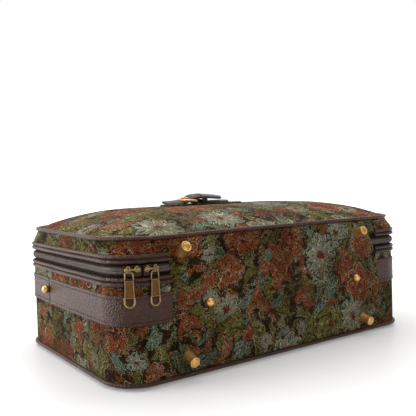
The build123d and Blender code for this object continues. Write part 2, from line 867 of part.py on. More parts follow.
# Keeper loop over the strap
with BuildPart() as buckle_keeper:
    inner_width = strap_width + 2 * strap_clearance
    inner_top = over_fold + leather_thickness / 2 + strap_clearance
    with Locations((keeper_x, 0, patch_top)):
        Box(
            keeper_width,
            inner_width + 2 * leather_thickness,
            inner_top + leather_thickness - patch_top,
            align=(Align.CENTER, Align.CENTER, Align.MIN),
        )
        upper = buckle_keeper.edges().filter_by(Axis.X).group_by(Axis.Z)[-1]
        fillet(upper, leather_thickness)
        Box(
            keeper_width,
            inner_width,
            inner_top - patch_top,
            align=(Align.CENTER, Align.CENTER, Align.MIN),
            mode=Mode.SUBTRACT,
        )
buckle_keeper.part.label = "buckle_keeper"

# Files
export_step(back_panel.part, "parts/back_panel.step")
export_step(back_board.part, "parts/back_board.step")
export_step(body_gusset.part, "parts/body_gusset.step")
export_step(body_frame.part, "parts/body_frame.step")
export_step(body_lining.part, "parts/body_lining.step")
export_step(back_piping.part, "parts/back_piping.step")
export_step(lower_binding.part, "parts/lower_binding.step")
export_step(zip_lower.part, "parts/zip_lower.step")
export_step(band_left.part, "parts/band_left.step")
export_step(band_right.part, "parts/band_right.step")
export_step(band_handle.part, "parts/band_handle.step")
export_step(base_panel_body.part, "parts/base_panel_body.step")
export_step(feet_lower.part, "parts/feet_lower.step")
export_step(studs_base.part, "parts/studs_base.step")
export_step(studs_side.part, "parts/studs_side.step")
export_step(lid_panel.part, "parts/lid_panel.step")
export_step(lid_gusset.part, "parts/lid_gusset.step")
export_step(lid_frame.part, "parts/lid_frame.step")
export_step(lid_lining.part, "parts/lid_lining.step")
export_step(front_piping.part, "parts/front_piping.step")
export_step(upper_binding.part, "parts/upper_binding.step")
export_step(zip_upper.part, "parts/zip_upper.step")
export_step(base_panel_lid.part, "parts/base_panel_lid.step")
export_step(feet_upper.part, "parts/feet_upper.step")
export_step(slider_left.part, "parts/slider_left.step")
export_step(slider_right.part, "parts/slider_right.step")
export_step(pull_left.part, "parts/pull_left.step")
export_step(pull_right.part, "parts/pull_right.step")
export_step(handle_plates.part, "parts/handle_plates.step")
export_step(handle_grip.part, "parts/handle_grip.step")
export_step(handle_ends.part, "parts/handle_ends.step")
export_step(buckle_patch.part, "parts/buckle_patch.step")
export_step(buckle_chape.part, "parts/buckle_chape.step")
export_step(buckle_strap.part, "parts/buckle_strap.step")
export_step(buckle_frame.part, "parts/buckle_frame.step")
export_step(buckle_prong.part, "parts/buckle_prong.step")
export_step(buckle_keeper.part, "parts/buckle_keeper.step")
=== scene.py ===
import bmesh
import bpy
import math
import numpy as np
from mathutils import Matrix


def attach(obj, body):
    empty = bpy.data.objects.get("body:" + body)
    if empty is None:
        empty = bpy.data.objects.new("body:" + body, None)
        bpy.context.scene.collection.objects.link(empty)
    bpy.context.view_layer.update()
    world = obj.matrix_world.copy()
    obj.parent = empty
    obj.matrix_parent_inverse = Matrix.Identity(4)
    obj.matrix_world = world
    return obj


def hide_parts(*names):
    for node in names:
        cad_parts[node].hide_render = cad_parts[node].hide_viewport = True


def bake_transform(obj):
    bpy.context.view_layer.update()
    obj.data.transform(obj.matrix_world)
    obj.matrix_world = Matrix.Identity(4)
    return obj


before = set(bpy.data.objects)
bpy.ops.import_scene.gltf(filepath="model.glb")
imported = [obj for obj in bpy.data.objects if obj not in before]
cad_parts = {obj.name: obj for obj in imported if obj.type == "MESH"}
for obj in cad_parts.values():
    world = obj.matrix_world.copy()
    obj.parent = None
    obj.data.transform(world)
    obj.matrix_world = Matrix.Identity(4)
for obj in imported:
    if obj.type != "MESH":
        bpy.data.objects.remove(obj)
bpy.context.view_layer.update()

# The photograph's view: a small studio camera low in front of the left end of the case,
# turned a little to the right, tipped down slightly and rolled a touch.
camera_data = bpy.data.cameras.new("studio_camera")
camera_data.lens = 49.34
camera_data.sensor_width = 36.0
camera_data.clip_end = 20.0
camera = bpy.data.objects.new("studio_camera", camera_data)
bpy.context.scene.collection.objects.link(camera)
bpy.context.scene.camera = camera
bpy.context.scene.view_settings.view_transform = "Standard"
pan, dip, roll = math.radians(35.33), math.radians(2.13), math.radians(-1.81)
ahead = np.array([math.sin(pan) * math.cos(dip), math.cos(pan) * math.cos(dip), -math.sin(dip)])
right = np.array([math.cos(pan), -math.sin(pan), 0.0])
above = np.cross(right, ahead)
level_right = right * math.cos(roll) + above * math.sin(roll)
level_above = -right * math.sin(roll) + above * math.cos(roll)
camera_axes = np.array([level_right, level_above, -ahead]).T
camera.matrix_world = Matrix.Translation((-0.52875, -0.72115, 0.2289)) @ Matrix(camera_axes.tolist()).to_4x4()


# Studio: a white paper sweep on the floor, a wide soft lamp overhead and two weaker ones,
# with white seen behind the case and in its metal.
def shade(tree, kind, inputs=None, **settings):
    """Add one shader node, set it, and join or fill its sockets."""
    made = tree.nodes.new(kind)
    for name, value in settings.items():
        setattr(made, name, value)
    for key, value in (inputs or {}).items():
        if isinstance(value, bpy.types.NodeSocket):
            tree.links.new(value, made.inputs[key])
        else:
            made.inputs[key].default_value = value
    return made


def calc(tree, operation, *values):
    """One step of arithmetic on a surface value."""
    return shade(tree, "ShaderNodeMath", dict(enumerate(values)), operation=operation).outputs[0]


def paint(red, green, blue):
    """A colour as it looks on screen, given in steps of 255, as linear light."""
    steps = [value / 255 for value in (red, green, blue)]
    light = [v / 12.92 if v < 0.04045 else ((v + 0.055) / 1.055) ** 2.4 for v in steps]
    return (light[0], light[1], light[2], 1.0)


def new_finish(name):
    """An empty surface finish and its shader tree."""
    made = bpy.data.materials.new(name)
    made.use_nodes = True
    made.node_tree.nodes.clear()
    return made, made.node_tree


studio = bpy.data.worlds.new("studio")
bpy.context.scene.world = studio
studio.use_nodes = True
room = studio.node_tree
room.nodes.clear()
seen = shade(room, "ShaderNodeLightPath").outputs
toward = shade(room, "ShaderNodeSeparateXYZ", {0: shade(room, "ShaderNodeTexCoord").outputs["Generated"]}).outputs
darker_front = {"Value": toward[1], "From Min": -0.35, "From Max": 0.45, "To Min": 0.22, "To Max": 1.15}
mirror_level = shade(room, "ShaderNodeMapRange", darker_front).outputs[0]
soft_fill, bright_mirror, white_back = (
    shade(room, "ShaderNodeBackground", {"Color": colour, "Strength": strength}).outputs[0]
    for colour, strength in (
        ((1.0, 0.98, 0.96, 1.0), 0.22),
        ((1.0, 0.98, 0.95, 1.0), mirror_level),
        ((1.0, 1.0, 1.0, 1.0), 1.0),
    )
)
lit_room = shade(room, "ShaderNodeMixShader", {0: seen["Is Glossy Ray"], 1: soft_fill, 2: bright_mirror}).outputs[0]
straight = calc(room, "MAXIMUM", seen["Is Camera Ray"], seen["Is Transmission Ray"])
whole_room = shade(room, "ShaderNodeMixShader", {0: straight, 1: lit_room, 2: white_back})
shade(room, "ShaderNodeOutputWorld", {0: whole_room.outputs[0]})


def unit(directions):
    """Directions made one long."""
    return directions / np.linalg.norm(directions, axis=-1, keepdims=True)


for name, place, aim, size, power in (
    ("overhead_box", (0.1, 0.25, 1.5), (0.0, 0.0, 0.1), (2.0, 1.5), 23.0),
    ("left_box", (-1.5, 0.75, 0.5), (-0.2, 0.0, 0.1), (0.9, 0.8), 18.0),
    ("front_box", (-0.1, -1.9, 1.0), (0.0, -0.1, 0.1), (0.9, 0.5), 10.5),
):
    lamp_data = bpy.data.lights.new(name, "AREA")
    lamp_data.shape = "RECTANGLE"
    lamp_data.size, lamp_data.size_y = size
    lamp_data.energy = power
    lamp = bpy.data.objects.new(name, lamp_data)
    bpy.context.scene.collection.objects.link(lamp)
    back = unit(np.array(place) - np.array(aim))
    side = unit(np.cross((0.0, 1.0, 0.0) if abs(back[2]) > 0.95 else (0.0, 0.0, 1.0), back))
    lamp_axes = np.array([side, np.cross(back, side), back]).T
    lamp.matrix_world = Matrix.Translation(place) @ Matrix(lamp_axes.tolist()).to_4x4()

sweep_half = 6.0
floor_mesh = bpy.data.meshes.new("paper_floor")
floor_corners = [(x * sweep_half, y * sweep_half, 0) for x, y in ((-1, -1), (1, -1), (1, 1), (-1, 1))]
floor_mesh.from_pydata(floor_corners, [], [(0, 1, 2, 3)])
paper_floor = bpy.data.objects.new("paper_floor", floor_mesh)
bpy.context.scene.collection.objects.link(paper_floor)
paper, tree = new_finish("paper_sweep")
matt = shade(tree, "ShaderNodeBsdfPrincipled", {"Base Color": (0.86, 0.86, 0.86, 1.0), "Roughness": 0.45})
away = shade(
    tree, "ShaderNodeVectorMath", {0: shade(tree, "ShaderNodeTexCoord").outputs["Object"]}, operation="LENGTH"
).outputs["Value"]
rising = {"Value": away, "From Min": 0.3, "From Max": 1.1, "To Min": 0.18, "To Max": 1.0}
glow_level = shade(tree, "ShaderNodeMapRange", rising).outputs[0]
glow = shade(tree, "ShaderNodeEmission", {"Color": (1.0, 1.0, 1.0, 1.0), "Strength": glow_level})
lit_paper = shade(tree, "ShaderNodeAddShader", {0: matt.outputs[0], 1: glow.outputs[0]})
dim_paper = shade(tree, "ShaderNodeBsdfDiffuse", {"Color": (0.36, 0.36, 0.36, 1.0)})
ray = shade(tree, "ShaderNodeLightPath").outputs
looked_at = calc(tree, "MAXIMUM", ray["Is Camera Ray"], ray["Is Glossy Ray"])
sweep_mix = shade(tree, "ShaderNodeMixShader", {0: looked_at, 1: dim_paper.outputs[0], 2: lit_paper.outputs[0]})
shade(tree, "ShaderNodeOutputMaterial", {0: sweep_mix.outputs[0]})
floor_mesh.materials.append(paper)


# Tapestry cloth: a jacquard weave of roses, daisies and leaves on a dark ground, in dull
# rust, olive, teal and cream yarns. The threads step the outline of every flower.
def ramp(tree, level, stops, smooth=False):
    """Yarn colours picked by level, as flat bands unless smooth."""
    made = shade(tree, "ShaderNodeValToRGB", {0: level})
    bands = made.color_ramp
    bands.interpolation = "EASE" if smooth else "CONSTANT"
    for index, (place, colour) in enumerate(stops):
        element = bands.elements[index] if index < 2 else bands.elements.new(place)
        element.position = place
        element.color = paint(*colour)
    return made.outputs[0]


def mixed(tree, factor, under, over, mode="MIX"):
    """One colour laid over another."""
    return shade(tree, "ShaderNodeMix", {0: factor, 6: under, 7: over}, data_type="RGBA", blend_type=mode).outputs[2]


def noise(tree, place, scale, detail, roughness, flat=False):
    """Cloudy unevenness, from 0 to 1, over a surface or over flat cloth."""
    inputs = {"Vector": place, "Scale": scale, "Detail": detail, "Roughness": roughness}
    return shade(tree, "ShaderNodeTexNoise", inputs, noise_dimensions="2D" if flat else "3D").outputs


def coat(tree, colour, rough, height, strength, depth, **sockets):
    """The finish itself: its colour, roughness and fine relief, with any other settings by socket."""
    relief = shade(tree, "ShaderNodeBump", {"Strength": strength, "Distance": depth, "Height": height}).outputs[0]
    body = shade(tree, "ShaderNodeBsdfPrincipled", {"Base Color": colour, "Roughness": rough, "Normal": relief})
    for socket, value in sockets.items():
        body.inputs[socket.replace("_", " ")].default_value = value
    shade(tree, "ShaderNodeOutputMaterial", {0: body.outputs[0]})


def motif_cells(tree, cloth_place, across, shift):
    """Scatter one motif per patch of cloth: the place within the patch and three random numbers."""
    scaled = shade(
        tree, "ShaderNodeVectorMath", {0: cloth_place, 1: (1 / across,) * 3, 2: shift}, operation="MULTIPLY_ADD"
    ).outputs[0]
    cells = shade(
        tree, "ShaderNodeTexVoronoi", {"Vector": scaled, "Scale": 1.0, "Randomness": 0.85}, voronoi_dimensions="2D"
    ).outputs
    local = shade(tree, "ShaderNodeVectorMath", {0: scaled, 1: cells["Position"]}, operation="SUBTRACT")
    return local.outputs[0], shade(tree, "ShaderNodeSeparateColor", {0: cells["Color"]}).outputs


def flower(tree, local, chance, petals, spread, swirl):
    """Petalled bloom: its outline mask and the banding of its petals."""
    parts = shade(tree, "ShaderNodeSeparateXYZ", {0: local}).outputs
    distance = shade(tree, "ShaderNodeVectorMath", {0: local}, operation="LENGTH").outputs["Value"]
    angle = calc(tree, "ARCTAN2", parts[1], parts[0])
    start = calc(tree, "MULTIPLY", chance[1], 6.28)
    around = calc(tree, "ABSOLUTE", calc(tree, "COSINE", calc(tree, "MULTIPLY_ADD", angle, petals / 2, start)))
    edge = calc(tree, "MULTIPLY_ADD", calc(tree, "POWER", around, 0.6), spread * 0.34, spread * 0.66)
    ratio = calc(tree, "DIVIDE", distance, edge)
    wave = calc(tree, "SINE", calc(tree, "MULTIPLY_ADD", angle, swirl, calc(tree, "MULTIPLY", ratio, 6.5)))
    rings = calc(tree, "FRACT", calc(tree, "MULTIPLY_ADD", ratio, 2.7, calc(tree, "MULTIPLY", wave, 0.3)))
    spokes = calc(tree, "FRACT", calc(tree, "MULTIPLY_ADD", around, 1.6, calc(tree, "MULTIPLY", ratio, 0.8)))
    return calc(tree, "LESS_THAN", ratio, 1.0), ratio, rings, spokes


def leaf(tree, local, chance, long_half, wide_half):
    """Pointed leaf turned at random: its outline mask, how near the rim, and its veins."""
    swung = {"Vector": local, "Angle": calc(tree, "MULTIPLY", chance[0], 6.28)}
    swung = shade(tree, "ShaderNodeVectorRotate", swung, rotation_type="Z_AXIS").outputs[0]
    parts = shade(tree, "ShaderNodeSeparateXYZ", {0: swung}).outputs
    bent = calc(tree, "MULTIPLY_ADD", calc(tree, "MULTIPLY", parts[0], parts[0]), 0.9, parts[1])
    side = calc(tree, "ABSOLUTE", bent)
    run = calc(tree, "DIVIDE", parts[0], long_half)
    room = calc(tree, "MULTIPLY", calc(tree, "SUBTRACT", 1.0, calc(tree, "MULTIPLY", run, run)), wide_half)
    veins = calc(tree, "FRACT", calc(tree, "MULTIPLY_ADD", parts[0], 7.0, calc(tree, "MULTIPLY", side, 9.0)))
    return calc(tree, "LESS_THAN", side, room), calc(tree, "DIVIDE", side, calc(tree, "MAXIMUM", room, 0.01)), veins


ground_yarns = [
    (0.0, (18, 18, 12)), (0.36, (50, 38, 18)), (0.44, (80, 40, 18)), (0.5, (34, 28, 14)),
    (0.56, (90, 88, 36)), (0.62, (62, 42, 22)), (0.68, (118, 58, 28)), (0.78, (136, 132, 72)),
]
rose_yarns = [
    (0.0, (66, 26, 18)), (0.14, (128, 56, 28)), (0.3, (168, 88, 42)), (0.42, (92, 34, 22)), (0.52, (180, 108, 66)),
    (0.62, (112, 46, 24)), (0.74, (148, 98, 44)), (0.84, (84, 36, 24)), (0.92, (206, 156, 134)),
]
pale_yarns = [
    (0.0, (64, 72, 62)), (0.2, (130, 146, 132)), (0.38, (196, 196, 172)), (0.5, (104, 124, 116)),
    (0.66, (126, 52, 42)), (0.78, (150, 160, 146)), (0.9, (212, 206, 176)),
]
moss_yarns = [
    (0.0, (50, 50, 26)), (0.22, (122, 116, 50)), (0.46, (88, 90, 40)),
    (0.64, (164, 156, 88)), (0.8, (104, 84, 38)), (0.92, (70, 74, 40)),
]
leaf_yarns = [
    (0.0, (42, 44, 22)), (0.2, (122, 120, 50)), (0.38, (76, 80, 34)), (0.5, (160, 156, 88)),
    (0.6, (56, 62, 36)), (0.74, (104, 106, 46)), (0.9, (124, 74, 34)),
]
teal_yarns = [
    (0.0, (44, 56, 52)), (0.26, (92, 118, 110)), (0.48, (132, 152, 140)),
    (0.62, (70, 86, 66)), (0.8, (190, 194, 172)), (0.92, (96, 104, 62)),
]
thread_pitch = (0.00072, 0.0005, 1.0)
weave = bpy.data.node_groups.new("tapestry_weave", "ShaderNodeTree")
weave.interface.new_socket("Place", in_out="INPUT", socket_type="NodeSocketVector")
weave.interface.new_socket("Color", in_out="OUTPUT", socket_type="NodeSocketColor")
weave.interface.new_socket("Height", in_out="OUTPUT", socket_type="NodeSocketFloat")
given = shade(weave, "NodeGroupInput").outputs[0]
threads = shade(weave, "ShaderNodeVectorMath", {0: given, 1: thread_pitch}, operation="SNAP").outputs[0]
thread_speck = shade(weave, "ShaderNodeTexWhiteNoise", {"Vector": threads}, noise_dimensions="2D").outputs["Value"]
sway = shade(
    weave, "ShaderNodeVectorMath", {0: noise(weave, threads, 55.0, 2.0, 0.55, flat=True)["Color"], 1: (0.5, 0.5, 0.5)},
    operation="SUBTRACT",
).outputs[0]
cloth_place = shade(
    weave, "ShaderNodeVectorMath", {0: sway, 1: (0.014, 0.014, 0.0), 2: threads}, operation="MULTIPLY_ADD"
).outputs[0]
patches = noise(weave, cloth_place, 75.0, 3.0, 0.65, flat=True)[0]
cloth = ramp(weave, patches, ground_yarns)
relief = calc(weave, "MULTIPLY", patches, 0.3)

for across, shift, yarns, other_yarns, long_half, wide_half, share in (
    (0.017, (3.1, 7.7, 0.0), leaf_yarns, rose_yarns, 0.66, 0.26, 0.8),
    (0.028, (9.4, 2.3, 0.0), leaf_yarns, teal_yarns, 0.72, 0.27, 0.8),
    (0.041, (14.8, 6.2, 0.0), rose_yarns, moss_yarns, 0.74, 0.24, 0.5),
    (0.062, (5.2, 11.9, 0.0), moss_yarns, teal_yarns, 0.78, 0.2, 0.62),
):
    local, chance = motif_cells(weave, cloth_place, across, shift)
    inside, rim, veins = leaf(weave, local, chance, long_half, wide_half)
    shown = calc(weave, "MULTIPLY", inside, calc(weave, "LESS_THAN", chance[1], share))
    other = calc(weave, "GREATER_THAN", chance[2], 0.6)
    tone = mixed(weave, other, ramp(weave, veins, yarns), ramp(weave, veins, other_yarns))
    pale = calc(weave, "MULTIPLY", calc(weave, "COMPARE", rim, 0.76, 0.04), calc(weave, "LESS_THAN", chance[0], 0.3))
    tone = mixed(weave, pale, tone, paint(200, 196, 154))
    tone = mixed(weave, calc(weave, "GREATER_THAN", rim, 0.86), tone, paint(36, 34, 20))
    cloth = mixed(weave, shown, cloth, tone)
    relief = calc(weave, "MULTIPLY_ADD", shown, 0.25, relief)

for across, shift, petals, spread, swirl, share in (
    (0.03, (1.3, 4.4, 0.0), 6, 0.44, 2, 0.4),
    (0.05, (6.6, 8.1, 0.0), 9, 0.45, 3, 0.5),
    (0.076, (2.9, 5.7, 0.0), 7, 0.45, 4, 0.52),
):
    local, chance = motif_cells(weave, cloth_place, across, shift)
    inside, ratio, rings, spokes = flower(weave, local, chance, petals, spread, swirl)
    shown = calc(weave, "MULTIPLY", inside, calc(weave, "LESS_THAN", chance[0], share))
    is_daisy, is_moss = (calc(weave, "GREATER_THAN", chance[2], level) for level in (0.56, 0.84))
    tone = mixed(weave, is_daisy, ramp(weave, rings, rose_yarns), ramp(weave, spokes, pale_yarns))
    tone = mixed(weave, is_moss, tone, ramp(weave, rings, moss_yarns))
    tone = mixed(weave, calc(weave, "LESS_THAN", ratio, 0.2), tone, paint(112, 48, 30))
    pale = calc(weave, "MULTIPLY", calc(weave, "COMPARE", ratio, 0.9, 0.024), calc(weave, "LESS_THAN", chance[1], 0.35))
    tone = mixed(weave, pale, tone, paint(198, 170, 138))
    tone = mixed(weave, calc(weave, "GREATER_THAN", ratio, 0.93), tone, paint(40, 28, 18))
    cloth = mixed(weave, shown, cloth, tone)
    relief = calc(weave, "MULTIPLY_ADD", shown, 0.3, relief)

strokes = calc(weave, "LESS_THAN", calc(weave, "FRACT", calc(weave, "MULTIPLY", patches, 9.0)), 0.16)
strokes = calc(weave, "MULTIPLY", strokes, calc(weave, "GREATER_THAN", patches, 0.46))
cloth = mixed(weave, calc(weave, "MULTIPLY", strokes, 0.75), cloth, paint(204, 200, 168))
speck = calc(weave, "MULTIPLY_ADD", thread_speck, 0.5, 0.5)
speck = shade(weave, "ShaderNodeCombineColor", {0: speck, 1: speck, 2: speck}).outputs[0]
cloth = mixed(weave, 1.0, cloth, speck, "MULTIPLY")
cloud = noise(weave, given, 16.0, 3.0, 0.6, flat=True)[0]
shadow = ramp(weave, cloud, [(0.32, (192, 178, 150)), (0.62, (255, 252, 240))], smooth=True)
cloth = mixed(weave, 1.0, cloth, shadow, "MULTIPLY")
ribbing = {"Vector": given, "Scale": 220.0, "Distortion": 0.6, "Detail": 1.0, "Detail Scale": 3.0}
ribs = shade(weave, "ShaderNodeTexWave", ribbing, wave_type="BANDS", bands_direction="Y").outputs[0]
relief = calc(weave, "MULTIPLY_ADD", ribs, 0.35, relief)
relief = calc(weave, "MULTIPLY_ADD", thread_speck, 0.25, relief)
shade(weave, "NodeGroupOutput", {"Color": cloth, "Height": relief})


def tapestry(name, shift):
    """Cloth cut from one part of the roll, laid flat on the piece's own measured surface."""
    made, tree = new_finish(name)
    flat = shade(tree, "ShaderNodeUVMap", uv_map="cloth_place").outputs[0]
    laid = shade(tree, "ShaderNodeMapping", {"Vector": flat, "Location": shift}).outputs[0]
    woven = shade(tree, "ShaderNodeGroup", node_tree=weave)
    tree.links.new(laid, woven.inputs["Place"])
    coat(tree, woven.outputs["Color"], 0.86, woven.outputs["Height"], 0.55, 0.0006,
         Specular_IOR_Level=0.1, Sheen_Weight=0.02, Sheen_Roughness=0.5)
    return made


# Body side wall: one long strip of tapestry round the stiff frame, open at the zip,
# slightly rounded by its padding and turned in at its top edge.
half_length, half_width = 252.0, 156.0
corner, lid_corner = 43.0, 68.0
zip_line, front_seam, back_seam = 137.0, 174.0, 6.0
lid_start = 154.75
side_swell, far_swell = 1.6, 0.8
round_length = 4 * (half_length + half_width) - 8 * corner + 2 * math.pi * corner


def corner_at(height):
    """The case's corner radius grows from the zip up to the front seam."""
    rise = np.clip((height - lid_start) / (front_seam - lid_start), 0.0, 1.0)
    return corner + (lid_corner - corner) * rise * rise * (3 - 2 * rise)


def outline_walk(along, half_x, half_y, radius):
    """Place, facing and padding swell on a rounded outline, from the middle of the base side to the left."""
    arc = math.pi / 2 * corner
    long_run, short_run = 2 * (half_length - corner), 2 * (half_width - corner)
    runs = np.cumsum([0, long_run / 2, arc, short_run, arc, long_run, arc, short_run, arc, long_run / 2 + 1e-6])
    core_x, core_y = half_x - radius, half_y - radius
    place, facing = np.zeros(along.shape + (2,)), np.zeros(along.shape + (2,))
    swell = np.zeros(along.shape)
    for part in range(9):
        here = (along >= runs[part]) & (along < runs[part + 1])
        share = (along - runs[part]) / (runs[part + 1] - runs[part])
        fuller = 0 * share
        if part % 2:
            angle = (-0.5 - part // 2 * 0.5 - share / 2) * math.pi
            face_x, face_y = np.cos(angle), np.sin(angle)
            x = (-1, -1, 1, 1)[part // 2] * core_x + radius * face_x
            y = (-1, 1, 1, -1)[part // 2] * core_y + radius * face_y
        elif part in (2, 6):
            face_x, face_y = (-1 if part == 2 else 1) + 0 * share, 0 * share
            x, y = face_x * half_x, -face_x * (2 * share - 1) * core_y
            fuller = side_swell * np.abs(np.sin(math.pi * share)) ** 1.5
        elif part == 4:
            face_x, face_y = 0 * share, 1 + 0 * share
            x, y = (2 * share - 1) * core_x, half_y + 0 * share
            fuller = far_swell * np.abs(np.sin(math.pi * share)) ** 1.5
        else:
            face_x, face_y = 0 * share, -1 + 0 * share
            x, y = (-share if part == 0 else 1 - share) * core_x, -half_y + 0 * share
        place[here] = np.stack([x, y], -1)[here]
        facing[here] = np.stack([face_x, face_y], -1)[here]
        swell[here] = fuller[here]
    return place, facing, swell


def settle(points):
    """The lid's seam isn't quite level: it dips at the near left corner and lifts at the far one."""
    rise = np.clip((points[..., 2] - 152.0) / 22.0, 0.0, 1.0) ** 2
    left = 1 / (1 + np.exp((points[..., 0] + 150.0) / 30.0))
    near = 1 / (1 + np.exp(points[..., 1] / 45.0))
    points[..., 2] += rise * left * (1.2 - 2.8 * near)
    return points


def wall_points(along, height, proud):
    """Points on the case's side and the way they face, in millimetres."""
    along, height, proud = np.broadcast_arrays(*(np.asarray(v, float) for v in (along, height, proud)))
    place, facing, swell = outline_walk(np.mod(along, round_length), half_length, half_width, corner_at(height))
    bow = np.sin(math.pi * np.clip((height - back_seam) / (front_seam - back_seam), 0, 1)) ** 0.8
    place = place + facing * (proud + swell * bow)[..., None]
    level = np.zeros(height.shape + (1,))
    return settle(np.concatenate([place, height[..., None]], -1)), np.concatenate([facing, level], -1)


def new_piece(name, points, faces, finish, uv=None, ends=()):
    """Smooth piece from points in millimetres: open ends are closed and every skin faces outward."""
    mesh = bpy.data.meshes.new(name)
    mesh.from_pydata((np.asarray(points).reshape(-1, 3) / 1000).tolist(), [], faces)
    if uv is not None:
        layer = mesh.uv_layers.new(name="cloth_place")
        layer.data.foreach_set("uv", uv.reshape(-1).astype(np.float32))
    mesh.polygons.foreach_set("use_smooth", [True] * len(faces))
    mesh.materials.append(finish)
    work = bmesh.new()
    work.from_mesh(mesh)
    work.verts.ensure_lookup_table()
    for loop in ends:
        work.faces.new([work.verts[i] for i in loop])
    bmesh.ops.recalc_face_normals(work, faces=work.faces)
    work.to_mesh(mesh)
    work.free()
    made = bpy.data.objects.new(name, mesh)
    bpy.context.scene.collection.objects.link(made)
    return made


def flat_place(r, c):
    """Place on the cloth for small pieces, two millimetres to a step."""
    return np.stack([r * 0.002, c * 0.002], -1)


def sheet_mesh(name, points, finish, uv=flat_place, wrap_along=False, wrap_across=False, close=False):
    """Skin from rows of points, with its cloth place in metres and its two ends closed where asked."""
    rows, columns = points.shape[:2]
    r, c = np.meshgrid(
        np.arange(rows if wrap_across else rows - 1), np.arange(columns if wrap_along else columns - 1), indexing="ij"
    )
    r2, c2 = (r + 1) % rows, (c + 1) % columns
    faces = np.stack([r * columns + c, r * columns + c2, r2 * columns + c2, r2 * columns + c], -1).reshape(-1, 4)
    corners = uv(np.stack([r, r, r + 1, r + 1], -1), np.stack([c, c + 1, c + 1, c], -1))
    first = [row * columns for row in range(rows)]
    ends = [first[::-1], [i + columns - 1 for i in first]] if close else ()
    return new_piece(name, points, faces.tolist(), finish, corners, ends)


def rounded(profile):
    """Round the corners of a closed section by cutting them."""
    section = np.array(profile, float)
    after = np.roll(section, -1, 0)
    return np.stack([0.75 * section + 0.25 * after, 0.25 * section + 0.75 * after], 1).reshape(-1, 2)


def run_of(path):
    """Distance along a path of points, from its start."""
    return np.concatenate([[0], np.cumsum(np.linalg.norm(np.diff(path, axis=0), axis=1))])


def round_strip(name, section, finish, start=0.0, end=None, step=4.0, wave=None):
    """Run a closed section (proud, height) along the case's side, all round or between two places."""
    whole = end is None
    length = round_length if whole else end - start
    count = max(int(length / step), 2)
    along = (start + np.arange(count if whole else count + 1) * length / count)[None]
    section = np.asarray(section, float)
    proud, height = (section[:, axis][:, None] + 0 * along for axis in (0, 1))
    if wave is not None:
        proud = proud + wave(along, height)
    points, _ = wall_points(along, height, proud)
    girth = run_of(np.vstack([section, section[:1]]))

    def place(r, c):
        return np.stack([(start + c * length / count) / 1000, girth[r] / 1000], -1)

    return sheet_mesh(name, points, finish, place, wrap_along=whole, wrap_across=True, close=not whole)


chance_of = np.random.default_rng(11).uniform
ripple_waves = [
    (chance_of(0.02, 0.09), chance_of(0.02, 0.08), chance_of(0, 6.3), chance_of(0.4, 1.0)) for _ in range(14)
]


def ripple(along, height):
    """Slow unevenness of cloth over padding, about half a millimetre."""
    return 0.09 * sum(size * np.sin(a * along + b * height + phase) for a, b, phase, size in ripple_waves)


wall_section = [(0.0, z) for z in np.linspace(3.0, 122.5, 30)] + [(-0.5, 124.0), (-1.7, 124.0)]
wall_section += [(-2.0, z) for z in np.linspace(122.5, 3.0, 6)]
wall_cloth = tapestry("tapestry_side_wall", (2.43, 1.57, 0.0))
body_wall = round_strip(
    "body_wall_cloth", wall_section, wall_cloth, step=5.0, wave=lambda a, z: np.where(z < 120, ripple(a, z), 0)
)
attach(body_wall, "body")
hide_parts("body_gusset")


# Piping: a cord wrapped in a strip of the brown grained leather and caught in the back seam
# and the front seam, with the leather's pinched edge towards the case.
def leather(name, lift=1.0, shine=0.36):
    """Pebbled brown leather of one shade, a little worn and shiny on its high spots."""
    made, tree = new_finish(name)
    place = shade(tree, "ShaderNodeTexCoord").outputs["Object"]
    grain = shade(tree, "ShaderNodeTexVoronoi", {"Vector": place, "Scale": 430.0, "Randomness": 1.0}, feature="F1")
    cloud = noise(tree, place, 28.0, 5.0, 0.6)[0]
    wear = noise(tree, place, 260.0, 3.0, 0.6)[0]
    deep, warm, rubbed = (tuple(int(v * lift) for v in tone) for tone in ((40, 22, 17), (70, 42, 34), (98, 64, 52)))
    base = ramp(tree, cloud, [(0.3, deep), (0.72, warm)], smooth=True)
    worn = mixed(tree, calc(tree, "MULTIPLY", wear, 0.25), base, paint(*rubbed))
    height = calc(tree, "MULTIPLY_ADD", wear, 0.6, calc(tree, "POWER", grain.outputs["Distance"], 1.6))
    rough = calc(tree, "MULTIPLY_ADD", cloud, 0.16, shine - 0.08)
    coat(tree, worn, rough, height, 0.9, 0.0011, Specular_IOR_Level=0.34, Specular_Tint=(1.0, 0.84, 0.76, 1.0))
    return made


cord_radius, cord_ridge, cord_sides = 2.5, 0.8, 20


def cord_mesh(name, height, rise):
    """Round cord along the case outline with its wrapped seam edge and slight bumps."""
    angles = np.arange(cord_sides) * 2 * math.pi / cord_sides
    count = int(round_length / 3.0)
    along = np.arange(count) * round_length / count
    bumps = 1 + 0.035 * np.sin(along * 0.21) + 0.025 * np.sin(along * 0.083 + 1.0)
    reach = cord_radius * bumps[None] * np.ones((cord_sides, 1))
    pinch = cord_ridge * np.exp(-((np.cos(angles) + 1.0) / 0.12) ** 2)[:, None]
    proud = rise + np.cos(angles)[:, None] * reach - pinch
    points, _ = wall_points(along[None], np.full_like(proud, height), proud)
    points[..., 2] += np.sin(angles)[:, None] * reach

    def place(r, c):
        return np.stack([c * round_length / count / 1000, angles[r % cord_sides] * cord_radius / 1000], -1)

    return sheet_mesh(name, points[::-1], piping_leather, place, wrap_along=True, wrap_across=True)


piping_leather = leather("piping_leather", lift=1.05, shine=0.4)
for name, node, height, rise, body in (
    ("back_seam_piping", "back_piping", back_seam, 1.2, "body"),
    ("front_seam_piping", "front_piping", front_seam, 0.4, "lid"),
):
    cord = cord_mesh(name, height, rise)
    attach(cord, body)
    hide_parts(node)


